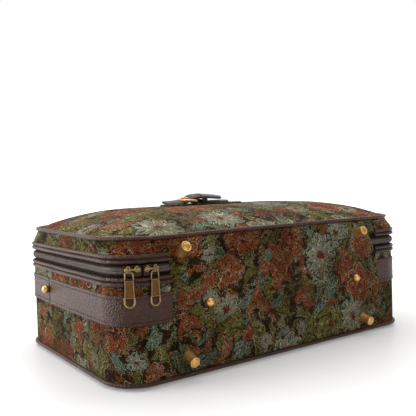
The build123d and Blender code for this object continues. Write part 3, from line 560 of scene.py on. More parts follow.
# Leather band: two front pieces end behind the base panel and one goes round the handle side,
# each with folded edges held by a row of stitches in thick brown thread.
def plain_cloth(name, light, dark, pitch, shine=0.7, gloss=0.08):
    """Tightly woven plain cloth, tape or thread."""
    made, tree = new_finish(name)
    place = shade(tree, "ShaderNodeTexCoord").outputs["Object"]
    cloud = noise(tree, place, 40.0, 4.0, 0.6)[0]
    rows = {"Vector": place, "Scale": pitch}
    across, along = (
        shade(tree, "ShaderNodeTexWave", rows, wave_type="BANDS", bands_direction=way).outputs[0]
        for way in ("Z", "DIAGONAL")
    )
    threads = calc(tree, "MULTIPLY", across, along)
    level = calc(tree, "MULTIPLY_ADD", threads, 0.4, calc(tree, "MULTIPLY", cloud, 0.6))
    colour = mixed(tree, level, paint(*dark), paint(*light))
    coat(tree, colour, shine, threads, 0.4, 0.0003, Specular_IOR_Level=gloss)
    return made


def rods(name, spines, outward, sizes, finish):
    """Many short six-sided rods, each along its own spine of points, in millimetres."""
    sides = 6
    spines, outward = np.asarray(spines, float), np.asarray(outward, float)
    count, steps = spines.shape[:2]
    ahead = unit(np.gradient(spines, axis=1))
    across = unit(np.cross(ahead, outward))
    lift = np.cross(across, ahead)
    angle = (np.arange(sides) * 2 * math.pi / sides)[:, None]
    size = np.asarray(sizes, float)[None, :, None, None]
    rings = spines[:, :, None] + size * (np.cos(angle) * across[:, :, None] + np.sin(angle) * lift[:, :, None])
    n, k, j = np.meshgrid(np.arange(count), np.arange(steps - 1), np.arange(sides), indexing="ij")
    base, after = (n * steps + k) * sides, (j + 1) % sides
    walls = np.stack([base + j, base + after, base + sides + after, base + sides + j], -1).reshape(-1, 4).tolist()
    first = (np.arange(count) * steps * sides)[:, None] + np.arange(sides)[::-1]
    last = ((np.arange(count) * steps + steps - 1) * sides)[:, None] + np.arange(sides)
    return new_piece(name, rings, walls + first.tolist() + last.tolist(), finish)


def stitch_row(name, path, facing, pitch=3.6, thick=0.34):
    """A row of stitches along a path of points, each rising a little and dipping in at its ends."""
    run = run_of(path)
    middles = (np.arange(int(run[-1] / pitch)) + 0.5) * pitch
    places = middles[:, None] + pitch * 0.72 * np.array([-0.5, -0.3, 0.0, 0.3, 0.5])
    spine, outward = (
        np.stack([np.interp(places, run, line[:, axis]) for axis in range(3)], -1) for line in (path, facing)
    )
    outward = unit(outward)
    spine = spine + outward * np.array([-0.3, 0.08, 0.18, 0.08, -0.3])[None, :, None]
    row = rods(name, spine, outward, np.array([0.55, 0.95, 1.0, 0.95, 0.55]) * thick, thread)
    return row


def along_wall(start, end, height, proud):
    """Path and facing on the case's side, for a row of stitches."""
    return wall_points(np.linspace(start, end, max(int((end - start) / 2.0), 2)), height, proud)


trim_leather = leather("trim_leather")
thread = plain_cloth("stitch_thread", (70, 50, 42), (36, 26, 22), 900.0)
band_low, band_high, band_thick = 73.0, 109.0, 1.6
near_end, corner_run, slit_half = 170.0, 67.54, 2.2
left_slit = half_length - corner + corner_run + 165
right_slit = round_length - left_slit
lower_edge = [(0.02 - band_thick, 0.2), (-0.3, 0.1), (0.25, 1.2), (0.25, 3.4), (-0.1, 4.6)]
lower_edge = [(band_thick + proud, up) for proud, up in lower_edge]
band_section = [(proud, band_low + up) for proud, up in lower_edge]
band_section += [(band_thick, z) for z in np.linspace(band_low + 8, band_high - 8, 5)]
band_section += [(proud, band_high - up) for proud, up in lower_edge[::-1]]
for name, node, start, end in (
    ("band_front_left", "band_left", near_end, left_slit),
    ("band_handle_side", "band_handle", left_slit + slit_half, right_slit - slit_half),
    ("band_front_right", "band_right", right_slit, round_length - near_end),
):
    strip = round_strip(
        name, rounded(band_section), trim_leather, start, end, step=3.0,
        wave=lambda a, z: 0.15 * np.sin(a * 0.05) * np.sin(z * 0.09),
    )
    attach(strip, "body")
    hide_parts(node)
    for edge, height in (("low", band_low + 4.4), ("high", band_high - 4.4)):
        row = stitch_row(f"{name}_stitches_{edge}", *along_wall(start + 1.5, end - 1.5, height, band_thick - 0.05))
        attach(row, "body")

# Bindings: leather strips either side of the zip, each folded into two ridges with a groove
# between, and sewn through the groove and along the hem next to the zip.
binding_half = [(0.0, -0.2), (1.4, -0.5), (2.5, 0.2), (3.0, 1.7), (2.7, 3.4), (0.9, 4.4), (0.9, 5.0)]
binding_half += [(2.7, 6.1), (3.0, 7.8), (2.5, 9.3), (1.4, 10.0), (0.0, 9.7)]
panel_left_along, panel_right_along = 183.5, round_length - 181.5
for name, node, low, hem, body in (
    ("lower_zip_binding", "lower_binding", 119.25, 8.9, "body"),
    ("upper_zip_binding", "upper_binding", 145.25, 0.6, "lid"),
):
    section = rounded([(proud, low + up) for proud, up in binding_half])
    strip = round_strip(
        name, section, trim_leather, panel_left_along, panel_right_along, 3.0, lambda a, z: 0.12 * np.sin(a * 0.07 + z)
    )
    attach(strip, body)
    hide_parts(node)
    for part, up, proud in (("groove", 4.7, 0.85), ("hem", hem, 2.3)):
        path = along_wall(panel_left_along + 2, panel_right_along - 2, low + up, proud)
        row = stitch_row(f"{name}_stitches_{part}", *path, pitch=2.2, thick=0.32)
        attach(row, body)

# Zip: dark woven tapes sunk between the bindings, darkened further as painted shade of the slot,
# each with its half of the nylon coil, whose turns cross the ridge and meet at the parting line.
# Tape colours near black: a dark tape, with painted shade of the slot under the bindings added to it.
zip_tape_painted_shade = plain_cloth("zip_tape_cloth", (40, 31, 27), (20, 15, 13), 420.0)
zip_coil = plain_cloth("zip_coil_nylon", (112, 88, 76), (50, 36, 30), 300.0, shine=0.34, gloss=0.5)
zip_start, zip_end, coil_pitch, tape_sunk = 172.0, round_length - 172.0, 2.0, -2.3
core_away = [0.0, 0.6, 1.8, 3.2, 4.3, 4.9]
core_proud = [1.35, 1.5, 1.35, 0.8, -0.2, -1.2]
turn_away = np.array([0.15, 0.8, 1.8, 3.2, 4.3])
turn_proud = np.array([0.95, 1.25, 1.15, 0.55, -0.5])
turn_sizes = (0.5, 0.55, 0.55, 0.5, 0.4)
for name, node, low, high, coil_edge, growth, body in (
    ("lower_zip", "zip_lower", 124.0, 136.95, 136.95, -1, "body"),
    ("upper_zip", "zip_upper", 137.05, 150.0, 137.05, 1, "lid"),
):
    ribbed = [(tape_sunk + 0.12 * math.sin(z * 3.3), z) for z in np.linspace(low + 1, high - 0.6, 9)]
    section = [(-3.0, low), (tape_sunk, low)] + ribbed + [(tape_sunk, high), (-3.0, high)]
    tape = round_strip(f"{name}_tape", section, zip_tape_painted_shade, zip_start, zip_end)
    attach(tape, body)
    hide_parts(node)
    ridge = [(proud, coil_edge + growth * away) for proud, away in zip(core_proud, core_away)]
    ridge = rounded([(-2.2, coil_edge)] + ridge + [(-2.2, coil_edge + growth * core_away[-1])])
    core = round_strip(f"{name}_coil_core", ridge, zip_coil, zip_start, zip_end)
    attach(core, body)
    turns = int((zip_end - zip_start - 4) / coil_pitch)
    along = zip_start + 2 + np.arange(turns)[:, None] * coil_pitch + (0.5 * coil_pitch if body == "lid" else 0)
    spines, facing = wall_points(along, coil_edge + growth * turn_away, turn_proud)
    coil = rods(f"{name}_coil_turns", spines, facing, turn_sizes, zip_coil)
    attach(coil, body)

# Base panel: a padded cloth panel that crowns over the base side, its edges folded under and
# stitched twice, with a seam across it where the cloth bends as the lid opens.
panel_edge, panel_crown, panel_half = 1.8, 7.2, 192.0
panel_low, panel_high, panel_middle, panel_tall = 9.0, 171.0, 90.0, 84.0
panel_rows, panel_columns = 101, 180
left_reach = np.array([188.0, 184.5, 184.0, 186.0, 191.0])
right_reach = np.array([169.0, 184.0, 188.0, 176.0, 155.0])
soft_join, least_depth, seam_level, seam_thread_level = 2.2, 0.9, 145.2, 146.6


def crown_arc(offset, half):
    """Depth of a shallow crown at a distance from its middle."""
    bend = (half * half + panel_crown**2) / (2 * panel_crown)
    return panel_edge + np.sqrt(np.maximum(bend * bend - offset * offset, 0)) - (bend - panel_crown)


def panel_face(x, z):
    """Outer face of the base panel, in millimetres in front of the case wall."""
    long_arc, tall_arc = crown_arc(x, panel_half), crown_arc(z - panel_middle, panel_tall)
    return np.maximum(-soft_join * np.logaddexp(-long_arc / soft_join, -tall_arc / soft_join), least_depth)


def on_panel(x, z, out=0.0):
    """A point on the base panel's outer face, or a little out from it."""
    return np.stack([x, -half_width - panel_face(x, z) - out, z + 0 * x], -1)


def ridge_at(distance, width):
    """Share of a narrow ridge or groove left at a distance from its line."""
    return np.exp(-((distance / width) ** 2))


levels = np.linspace(panel_low, panel_high, 5)
row_z = np.linspace(panel_low, panel_high, panel_rows)
side_curve = np.array([
    [np.prod([(z - levels[k]) / (levels[j] - levels[k]) for k in range(5) if k != j]) for j in range(5)] for z in row_z
])
left_x, right_x = -(side_curve @ left_reach), side_curve @ right_reach
share = np.linspace(0, 1, panel_columns)
share = share - 0.035 * np.sin(2 * math.pi * share)
x = left_x[:, None] * (1 - share) + right_x[:, None] * share
z = row_z[:, None] + 0 * x
from_edge = np.minimum(x - left_x[:, None], right_x[:, None] - x)
from_seam = np.minimum(z - panel_low, panel_high - z)
fold = 1 / (1 + np.exp(-(np.minimum(from_edge, from_seam * 1.5) - 0.9) / 0.45))
depth = (panel_face(x, z) + 1.3 * ridge_at(from_edge, 9.0)) * (0.35 + 0.65 * fold)
for inset, width, rise in ((8.0, 0.9, -0.55), (4.0, 0.8, -0.45), (6.0, 1.2, 0.35)):
    depth = depth + rise * ridge_at(from_edge - inset, width)
above_seam = z - seam_level - 0.5 * np.sin(x * 0.012)
depth = depth - 0.9 * ridge_at(above_seam, 1.1) * np.clip(from_edge / 6, 0, 1)
depth = depth + ripple(x * 1.3, z * 1.2) * np.clip(from_edge / 12, 0, 1) * 1.2
depth = depth + 0.22 * np.sin(x * 0.55 + 1.3 * np.sin(x * 0.043)) * ridge_at(above_seam, 5.0)
skins = np.stack([np.stack([x, -half_width - deep, z], -1) for deep in (depth, 0 * x - 0.1)])
grid = np.arange(x.size).reshape(x.shape)
top = np.stack([grid[:-1, :-1], grid[:-1, 1:], grid[1:, 1:], grid[1:, :-1]], -1).reshape(-1, 4)
rim = np.concatenate([grid[0], grid[1:, -1], grid[-1, -2::-1], grid[-2:0:-1, 0]])
after = np.roll(rim, -1)
faces = np.concatenate([top, top[:, ::-1] + x.size, np.stack([after, rim, rim + x.size, after + x.size], -1)])
laid = np.stack([x + 300, z], -1).reshape(-1, 2)[faces.reshape(-1) % x.size] / 1000
base_cloth = tapestry("tapestry_base_panel", (1.18, 0.87, 0.0))
base_pad = new_piece("base_panel_cloth", skins, faces.tolist(), base_cloth, laid)
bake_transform(base_pad)
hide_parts("base_panel_body", "base_panel_lid")

facing_out = (0.0, -1.0, 0.0)
for side, edge_x, sign in (("left", left_x, 1), ("right", right_x, -1)):
    for number, inset in enumerate((4.0, 8.0)):
        line = on_panel(edge_x + sign * inset, row_z, -0.35)[3:-3]
        for body, keep in (("body", line[:, 2] < 130), ("lid", line[:, 2] > 144)):
            outward = np.tile(facing_out, (keep.sum(), 1))
            row = stitch_row(f"base_panel_{side}_stitches_{number}_{body}", line[keep], outward, pitch=3.0, thick=0.28)
            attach(row, body)

seam_x = np.linspace(-181.0, 176.0, 120)
seam_row = on_panel(seam_x, seam_thread_level, 0.1)
row = stitch_row("base_panel_seam_stitches", seam_row, np.tile(facing_out, (120, 1)), pitch=2.9)
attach(row, "lid")

# Back: the padded cloth that the case lies on, stretched over the back board and drawn in
# round its edge to the seam piping.
outline_count, least_radius, middle_inset, narrow_limit = 240, 0.05, 155.9, 0.2


def drawn_in(inset, radius, count=outline_count):
    """Ring of points on the case outline, drawn in by an inset."""
    half_y = half_width - inset
    along = np.arange(count) * round_length / count
    return outline_walk(along, half_length - inset, half_y, min(radius, half_y * 0.98))[0]


def cap_mesh(name, rings, heights, finish, body):
    """Closed skin from rings of equal count: down one face to the middle line and back up the other."""
    count = len(rings[0])
    points = np.concatenate([
        np.column_stack([ring, np.broadcast_to(height, (count,))]) for ring, height in zip(rings, heights)
    ])
    here = np.arange(count)
    after = (here + 1) % count
    narrow = [np.abs(ring[:, 1]).max() < narrow_limit for ring in rings]
    faces = []
    for level in range(len(rings)):
        beyond = (level + 1) % len(rings)
        low, high = level * count, beyond * count
        if narrow[level] and narrow[beyond]:
            faces += [(low + here).tolist()[::-1], (high + here).tolist()]
        else:
            faces += np.stack([low + here, high + here, high + after, low + after], -1).tolist()
    if body == "lid":
        points = settle(points)
    made = new_piece(name, points, faces, finish, points[np.concatenate(faces)][:, :2] / 1000 + 0.4)
    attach(made, body)
    return made


back_insets = [0.0, 0.3, 1.6, 4.0, 8.0, 14.0, 30.0, 60.0, 100.0, middle_inset]
back_heights = [5.6, 4.6, 3.0, 1.7, 0.6, 0.05, 0.0, 0.0, 0.0, 0.0]
back_cloth = tapestry("tapestry_back_panel", (0.9, 0.7, 0.0))
back_rings = [drawn_in(inset, max(corner - inset, least_radius)) for inset in back_insets + back_insets[::-1]]
back_pad = cap_mesh("back_panel_cloth", back_rings, back_heights + [6.0] * len(back_insets), back_cloth, "body")
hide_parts("back_panel")

# Lid side wall: a narrow strip of the tapestry that rises straight from the upper binding,
# then draws in to rounder corners at the front seam.
lid_section = [(0.0, z) for z in np.linspace(152.0, 172.5, 12)] + [(-0.6, front_seam), (-1.8, front_seam)]
lid_section += [(-2.0, z) for z in np.linspace(172.0, 152.0, 5)] + [(-1.6, 150.0), (-0.4, 150.0)]
lid_wall_cloth = tapestry("tapestry_lid_wall", (3.3, 2.1, 0.0))
lid_wall = round_strip(
    "lid_wall_cloth", lid_section, lid_wall_cloth, wave=lambda a, z: np.where((z > 151) & (z < 172), ripple(a, z), 0)
)
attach(lid_wall, "lid")
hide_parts("lid_gusset")

# Lid panel: padded tapestry that domes up from the front seam, where it is sewn in with the
# piping, a little slack round its edge.
dome_rise, dome_count = 27.92, 360


def lid_height(share):
    """Height of the dome above the front seam at a share of the way to its middle line."""
    return dome_rise * (1 - (1 - share) ** 2.6)


ring_shares = np.concatenate([[0.0, 0.006, 0.018, 0.04], np.linspace(0.07, 0.9, 22), [0.95, 1.0]])
around = np.arange(dome_count) * round_length / dome_count
lid_rings, lid_levels = [], []
for share in ring_shares:
    inset = share * middle_inset
    radius = max(lid_corner - inset * 0.5, 4.0) if inset < 120 else max(half_width - inset, least_radius)
    ring = drawn_in(inset, radius, dome_count)
    slack = 0.5 * np.sin(around * 0.09 + 2 * np.sin(around * 0.013)) * ridge_at(share - 0.06, 0.05)
    swell = 0.5 * np.sin(ring[:, 0] * 0.031 + 1.0) * np.sin(ring[:, 1] * 0.045)
    swell = swell * np.clip(share * 5, 0, 1) * np.clip((0.75 - share) * 5, 0, 1)
    lid_rings.append(ring)
    lid_levels.append(front_seam + lid_height(share) + slack + swell)
under_levels = [level - 4.0 * min(1.0, 0.2 + 4 * share) for share, level in zip(ring_shares, lid_levels)]
lid_top_cloth = tapestry("tapestry_lid_panel", (0.71, 1.93, 0.0))
lid_levels += under_levels[::-1]
lid_pad = cap_mesh("lid_panel_cloth", lid_rings + lid_rings[::-1], lid_levels, lid_top_cloth, "lid")
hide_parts("lid_panel")


# Ball studs: polished brass balls on short necks, two on the base panel and one on the band
# at each short side, riveted through the cloth or the band.
def metal(name, light, dark, polish, patch, patina):
    """Plated metal: clean on its high parts and darker where it has aged."""
    made, tree = new_finish(name)
    place = shade(tree, "ShaderNodeTexCoord").outputs["Object"]
    spots = noise(tree, place, patch, 5.0, 0.65)[0]
    fine = noise(tree, place, patch * 9, 3.0, 0.7)[0]
    aged = calc(tree, "MULTIPLY", calc(tree, "SMOOTH_MIN", spots, 0.75, 0.2), patina)
    rough = calc(tree, "MULTIPLY_ADD", spots, 0.2, polish - 0.1)
    coat(tree, mixed(tree, aged, paint(*light), paint(*dark)), rough, fine, 0.12, 0.0002, Metallic=0.8)
    return made


def tube(name, rings, finish):
    """Closed skin from rings of points, along a wire or a turned piece."""
    rings = np.asarray(rings)
    count, sides = rings.shape[:2]
    r, c = np.meshgrid(np.arange(count - 1) * sides, np.arange(sides), indexing="ij")
    after = (c + 1) % sides
    walls = np.stack([r + c, r + after, r + sides + after, r + sides + c], -1).reshape(-1, 4).tolist()
    first = list(range(sides))
    return new_piece(name, rings, walls + [first[::-1], [(count - 1) * sides + i for i in first]], finish)


def circle(sides, one, other):
    """Directions round a circle between two crossing directions."""
    angle = (np.arange(sides) * 2 * math.pi / sides)[:, None]
    return np.cos(angle) * one + np.sin(angle) * other


def turned(name, profile, place, axis, around=40):
    """Lathe-turned brass piece from (radius, height) steps along its axis, in millimetres."""
    axis = unit(np.array(axis, float))
    side = unit(np.cross(axis, (0.0, 0.0, 1.0) if abs(axis[2]) < 0.9 else (1.0, 0.0, 0.0)))
    round_axis = circle(around, side, np.cross(axis, side))
    made = tube(name, [place + height * axis + radius * round_axis for radius, height in profile], bright_brass)
    return made


bright_brass = metal("bright_brass", (238, 190, 112), (172, 120, 60), 0.32, 60.0, 0.5)
ball_radius, ball_centre = 5.7, 4.4
ball_angles = np.linspace(-0.82, math.pi / 2 - 0.03, 22)
ball_profile = [(3.2, 0.05), (3.6, 0.35)]
ball_profile += [(ball_radius * math.cos(a), ball_centre + ball_radius * math.sin(a)) for a in ball_angles]
base_spots = [(on_panel(x, z, -0.4), facing_out) for x, z in ((-136.0, 90.5), (128.0, 88.5))]
side_spots = [((side * (half_length + band_thick), 59.0, 93.0), (side, 0, 0)) for side in (-1, 1)]
for group, spots in (("base", base_spots), ("side", side_spots)):
    studs = [turned(f"{group}_stud_{number}", ball_profile, *spot) for number, spot in enumerate(spots)]
    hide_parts(f"studs_{group}")
    for stud in studs:
        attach(stud, "body")

# Feet: turned brass barrels, flared to a rounded rim round a dished end, and screwed through
# the base panel into the frame, each with its own lean.
foot_profile = [
    (7.5, -1.5), (7.4, 0.0), (7.2, 2.0), (6.6, 8.0), (6.2, 13.2), (6.3, 14.4), (6.45, 15.3), (6.4, 15.9), (6.1, 16.4),
    (5.6, 16.5), (5.1, 16.2), (4.9, 15.3), (4.5, 15.0), (4.1, 15.3), (3.9, 15.9), (3.4, 16.1), (0.3, 16.2),
]
for group, body, spots in (
    ("feet_upper", "lid", ((-171.0, 153.5, 30.0), (137.0, 153.0, 19.0))),
    ("feet_lower", "body", ((-165.5, 29.0, -16.0), (148.0, 26.0, -12.0))),
):
    feet = []
    for number, (x, z, tilt) in enumerate(spots):
        lean = math.radians(tilt)
        axis = (0.0, -math.cos(lean), math.sin(lean))
        feet.append(turned(f"{group}_{number}", foot_profile, on_panel(x, z, -0.6), axis, around=56))
    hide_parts(group)
    for foot in feet:
        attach(foot, body)


# Zip sliders: a cast channel over the coil, its near-black colour painted shade of the zip's gap,
# with a curled wire bridge that carries the pull: two eyes, a tapered plate with a raised wire
# rim, and a loop at its end.
def rod(name, path, radius, finish, sides=10):
    """Round wire along a path of points in millimetres."""
    path = np.asarray(path, float)
    ahead = unit(np.gradient(path, axis=0))
    guide = np.cross(ahead[0], (0.31, 0.52, 0.79))
    rings = []
    for point, way, size in zip(path, ahead, radius + 0 * path[:, 0]):
        guide = unit(guide - np.dot(guide, way) * way)
        rings.append(point + size * circle(sides, guide, np.cross(way, guide)))
    made = tube(name, rings, finish)
    return made


# Near-black slider bronze: its darkness is painted shade of the zip's gap round the channel.
slider_bronze_painted_shade = metal("slider_bronze_painted_shade", (58, 42, 27), (24, 17, 12), 0.4, 150.0, 1.0)
old_brass = metal("antique_brass", (122, 82, 36), (40, 25, 11), 0.4, 260.0, 1.0)
worn_brass = metal("worn_light_brass", (176, 150, 104), (84, 62, 34), 0.3, 200.0, 0.85)
slider_half, slider_rise, right_slider_at = 9.5, 6.5, 212.5
slider_section = np.array([
    (0.5, 1.0), (0.5, 0.86), (2.5, 0.82), (2.5, -0.82), (0.5, -0.86), (0.5, -1.0), (2.6, -1.02),
    (3.5, -0.9), (3.85, -0.6), (3.9, 0.0), (3.85, 0.6), (3.5, 0.9), (2.6, 1.02),
])
left_corner = half_length - corner
curl_end = [(8.4, 48.4, 1.6), (8.6, 46.2, 0.6)]
pull_low, pull_front, pull_back, pull_wire = -35.0, 48.7, 47.2, 47.95
plate_outline = [(4.95, -10.2), (5.7, pull_low + 4.8), (-5.7, pull_low + 4.8), (-4.95, -10.2)]
loop_line = [(-5.5, pull_low + 6.0), (-5.6, pull_low + 3.0)]
loop_line += [(5.6 * math.cos(a), pull_low + 5.6 * math.sin(a)) for a in np.linspace(-math.pi, 0, 21)]
loop_line += [(5.6, pull_low + 3.0), (5.5, pull_low + 6.0)]
rail_line = [(4.9, -11.0), (4.35, -2.6), (4.0, -1.7), (3.1, -1.3)]
rail_line += [(-x, z) for x, z in rail_line[::-1]]
rim_turns = np.array([(-4.5, -10.6), (-5.2, pull_low + 5.2), (5.2, pull_low + 5.2), (4.5, -10.6), (-4.5, -10.6)])
rim_line = [spot for start, end in zip(rim_turns, rim_turns[1:]) for spot in np.linspace(start, end, 12)[:-1]]
rim_line.append(rim_turns[-1])
for side, centre, hub, turn_angle, hang in (
    ("left", left_corner + corner_run / 3, left_corner, 30.0, -4.2),
    ("right", right_slider_at, right_slider_at, 0.0, 4.2),
):
    shares = np.linspace(-1, 1, 25)
    along = centre + shares * slider_half
    proud, level = (slider_section[:, axis][:, None] for axis in (0, 1))
    height = zip_line + slider_rise * level * (1 - 0.08 * np.abs(shares) ** 3)[None]
    if side == "left":
        shell, _ = wall_points(along[None], height, proud)
    else:
        shell = np.stack([-along[None] + 0 * height, -half_width - proud + 0 * height, height], -1)
    channel = sheet_mesh(f"slider_{side}_channel", shell, slider_bronze_painted_shade, wrap_across=True, close=True)
    lean = math.radians(-turn_angle)
    outward = np.array([math.sin(lean), -math.cos(lean), 0.0])
    ahead = np.array([math.cos(lean), math.sin(lean), 0.0])
    middle = np.array([-hub, corner - half_width, zip_line])

    def local(t, n, z):
        """A place beside the slider: along the zip, out from the corner's middle, and up."""
        return middle + t * ahead + n * outward + np.array([0.0, 0.0, z])

    bar = [local(-8.6, 46.2, 0.6), local(-8.4, 48.4, 1.6)] + [local(t, 49.6, 2.0) for t in np.linspace(-7.4, 7.4, 9)]
    bar += [local(*spot) for spot in curl_end]
    parts = [channel, rod(f"slider_{side}_bridge", bar, 1.05, worn_brass, sides=12)]
    for end, end_name in ((-1, "back"), (1, "front")):
        spiral = []
        for step in np.linspace(0, 1, 26):
            angle, radius = math.pi * (0.5 + 2.3 * step), 3.9 - 2.4 * step
            across, up = 6.2 + radius * math.cos(angle), 2.2 + radius * math.sin(angle) * 0.9
            spiral.append(local(end * across, 48.6 + 0.5 * step, up))
        parts.append(rod(f"slider_{side}_curl_{end_name}", spiral, np.linspace(0.95, 0.65, 26), worn_brass))
    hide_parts(f"slider_{side}")
    for part in parts:
        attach(part, f"{side}_slider")

    faces = [[local(hang + x, n, z) for x, z in plate_outline] for n in (pull_back, pull_front)]
    plate = tube(f"pull_{side}_plate", faces, old_brass)
    plate.data.polygons.foreach_set("use_smooth", [False] * len(plate.data.polygons))
    pull_parts = [plate]
    for part, line, depth, wire, sides in (
        ("loop", loop_line, pull_wire, 1.15, 12),
        ("rails", rail_line, pull_wire, 0.95, 12),
        ("rim", rim_line, pull_front, 0.45, 8),
    ):
        path = [local(hang + x, depth, z) for x, z in line]
        pull_parts.append(rod(f"pull_{side}_{part}", path, wire, worn_brass, sides=sides))
    for number, shift in enumerate((-1.5, 1.5)):
        eye = [
            local(hang + shift, 49.6 - 0.5 * (1 - math.sin(a)) + 1.95 * math.cos(a), 1.1 + 2.1 * math.sin(a))
            for a in np.linspace(0, 2 * math.pi, 25)
        ]
        pull_parts.append(rod(f"pull_{side}_eye_{number}", eye, 0.7, worn_brass, sides=8))
    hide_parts(f"pull_{side}")
    for part in pull_parts:
        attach(part, f"{side}_pull")


# Buckled strap: a leather patch sewn to the lid, a chape folded round the buckle, and a tongue
# through the brass buckle and under the keeper, all with folded and stitched edges.
def belt(name, node, path, half_wide, thick, crown, tilt=0.0):
    """Leather strap along a path of (x, z) points, its edges folded round and its end rounded."""
    path = np.array(path, float)
    run = run_of(path)
    end = run[-1]
    even = np.linspace(0, end, 400)
    ease = [np.interp(even, run, path[:, axis]) for axis in range(2)]
    kernel = np.hanning(35) / np.hanning(35).sum()
    line = [np.convolve(np.pad(e, 17, mode="reflect", reflect_type="odd"), kernel, "valid") for e in ease]
    rounding = half_wide * (1 - np.cos(np.linspace(0, math.pi / 2, 12)))
    spots = np.unique(np.concatenate([rounding, np.linspace(half_wide, end - half_wide, 40), end - rounding[::-1]]))
    line = np.stack([np.interp(spots, even, smooth) for smooth in line], -1)
    along = unit(np.gradient(line, axis=0))
    lift = np.stack([-along[:, 1], along[:, 0]], -1)
    width = np.sqrt(np.maximum(half_wide**2 - np.maximum(spots - end + half_wide, 0) ** 2, 0.4))
    shares = np.array([-1.0, -0.93, -0.82, -0.7, -0.35, 0.0, 0.35, 0.7, 0.82, 0.93, 1.0])
    arch = crown * (1 - shares**2)
    high = np.array([0.0, 0.7, 0.98, 0.82, 1.0, 1.05, 1.0, 0.82, 0.98, 0.7, 0.0]) * thick / 2 + arch
    low = np.array([0.0, 0.7, 0.95, 1.0, 1.0, 1.0, 1.0, 1.0, 0.95, 0.7, 0.0]) * -thick / 2 + arch * 0.6

    def strand(across, up):
        """The line of the strap at a share of its width and a height over its middle."""
        points = np.stack([line[:, 0] + lift[:, 0] * up, across * width, line[:, 1] + lift[:, 1] * up], -1)
        points[:, 2] += tilt * points[:, 1]
        return points

    section = zip(np.concatenate([shares, shares[-2:0:-1]]), np.concatenate([high, low[-2:0:-1]]))
    made = sheet_mesh(name, np.array([strand(*step) for step in section]), strap_leather, wrap_across=True, close=True)
    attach(made, "lid")
    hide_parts(node)
    outward = np.stack([lift[:, 0], -tilt + 0 * spots, lift[:, 1]], -1)
    for edge, sign in (("near", -1), ("far", 1)):
        seam = strand(sign * 0.7, high[3])
        row = stitch_row(f"{name}_stitches_{edge}", seam[1:-4], outward[1:-4], pitch=2.8, thick=0.28)
        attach(row, "lid")


strap_leather = leather("strap_leather", lift=0.55, shine=0.42)
chape_fold = [(-44 + 3.0 * math.cos(a), 208.4 + 3.0 * math.sin(a)) for a in np.linspace(0.9, 4.6, 9)]
tongue_line = [
    (-94, 205.6), (-84, 205.7), (-76, 206.2), (-67, 207.0), (-61, 208.4), (-55, 211.2),
    (-49, 213.9), (-43, 214.9), (-31, 214.9), (-18, 214.2), (-6, 213.2), (6, 212.0),
]
belt("strap_patch", "buckle_patch", [(-96, 203.0), (-60, 203.1), (0, 203.1), (46, 202.7)], 13.0, 2.4, 0.3)
chape_line = [(-26, 208.6), (-36, 210.4)] + chape_fold + [(-38, 205.8), (-20, 205.9), (20, 205.7)]
belt("strap_chape", "buckle_chape", chape_line, 10.5, 3.0, 0.4, tilt=0.09)
belt("strap_tongue", "buckle_strap", tongue_line, 10.0, 3.4, 0.7, tilt=0.22)

keeper_sizes, keeper_middle, keeper_thick, keeper_x = np.array([12.0, 7.4]), np.array([0.0, 210.4]), 1.5, -31.0
angle = np.arange(40) * 2 * math.pi / 40
bulge = 1 / (np.abs(np.cos(angle)) ** 4 + np.abs(np.sin(angle)) ** 4) ** 0.25
outer_ring = keeper_sizes * np.stack([np.cos(angle) * bulge, np.sin(angle) * bulge], -1)
keeper_rows = [
    (x, outer_ring * (1 + puff / 12))
    for x, puff in ((-4.5, 0.0), (-4.2, 0.25), (-3.4, 0.4), (0.0, 0.45), (3.4, 0.4), (4.2, 0.25), (4.5, 0.0))
]
keeper_rows += [(x, outer_ring * (1 - keeper_thick / keeper_sizes)) for x, _ in keeper_rows[::-1]]
keeper_rows = [np.column_stack([np.full(40, keeper_x + x), keeper_middle + ring]) for x, ring in keeper_rows]
keeper_points = np.array(keeper_rows)
keeper_points[..., 2] += 0.18 * keeper_points[..., 1] * np.clip((keeper_points[..., 2] - 204.0) / 8.0, 0.0, 1.0)
keeper = sheet_mesh("strap_keeper", keeper_points, strap_leather, wrap_along=True, wrap_across=True)
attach(keeper, "lid")
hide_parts("buckle_keeper")

buckle_corners = np.array([(-65.0, 12.4, 210.4), (-65.0, -12.4, 210.0), (-44.8, -12.4, 207.9), (-44.8, 12.4, 208.3)])
buckle_round = 5.0
buckle_path = []
for before, point, after in zip(np.roll(buckle_corners, 1, 0), buckle_corners, np.roll(buckle_corners, -1, 0)):
    into, out = unit(before - point), unit(after - point)
    buckle_path += [point + buckle_round * ((1 - step) ** 2 * into + step**2 * out) for step in np.linspace(0, 1, 9)]
buckle = rod("buckle_frame_wire", buckle_path + buckle_path[:1], 2.0, bright_brass, sides=16)
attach(buckle, "lid")
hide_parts("buckle_frame")

# Linings: thin woven cloth glued inside the board walls, with a soft roll where wall meets
# floor. The lid's own wall is paper board, rounder at its corners than the frame's.
lining_cloth = plain_cloth("lining_cloth", (118, 98, 74), (84, 68, 52), 500.0)
board_cloth = plain_cloth("board_paper", (92, 82, 70), (66, 58, 50), 200.0)
lining_inset, lining_thick, board_inset, board_thick = 4.1, 0.9, 2.1, 1.8
floor_from, folded_from, lining_floor, lid_lining_gap, lining_middle = 6.0, 120.0, 8.6, 4.3, 155.95


def tub(name, node, outer, thick, finish, body):
    """Skin from rows of (inset, height, corner radius), from the rim towards the middle, and back."""
    lift = thick if body == "body" else -thick
    inner = [
        (inset + (thick if inset < folded_from else 0), height + (lift if inset > floor_from else 0), radius)
        for inset, height, radius in outer[::-1]
    ]
    rings = [drawn_in(inset, max(radius - inset, least_radius)) for inset, _, radius in outer + inner]
    made = cap_mesh(name, rings, [height for _, height, _ in outer + inner], finish, body)
    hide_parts(node)


def floor_row(first, inset, height):
    """A row whose corner radius shrinks evenly from the wall to the middle line."""
    radius = (first - lining_inset) * (half_width - inset) / (half_width - lining_inset) + inset
    return inset, height, radius


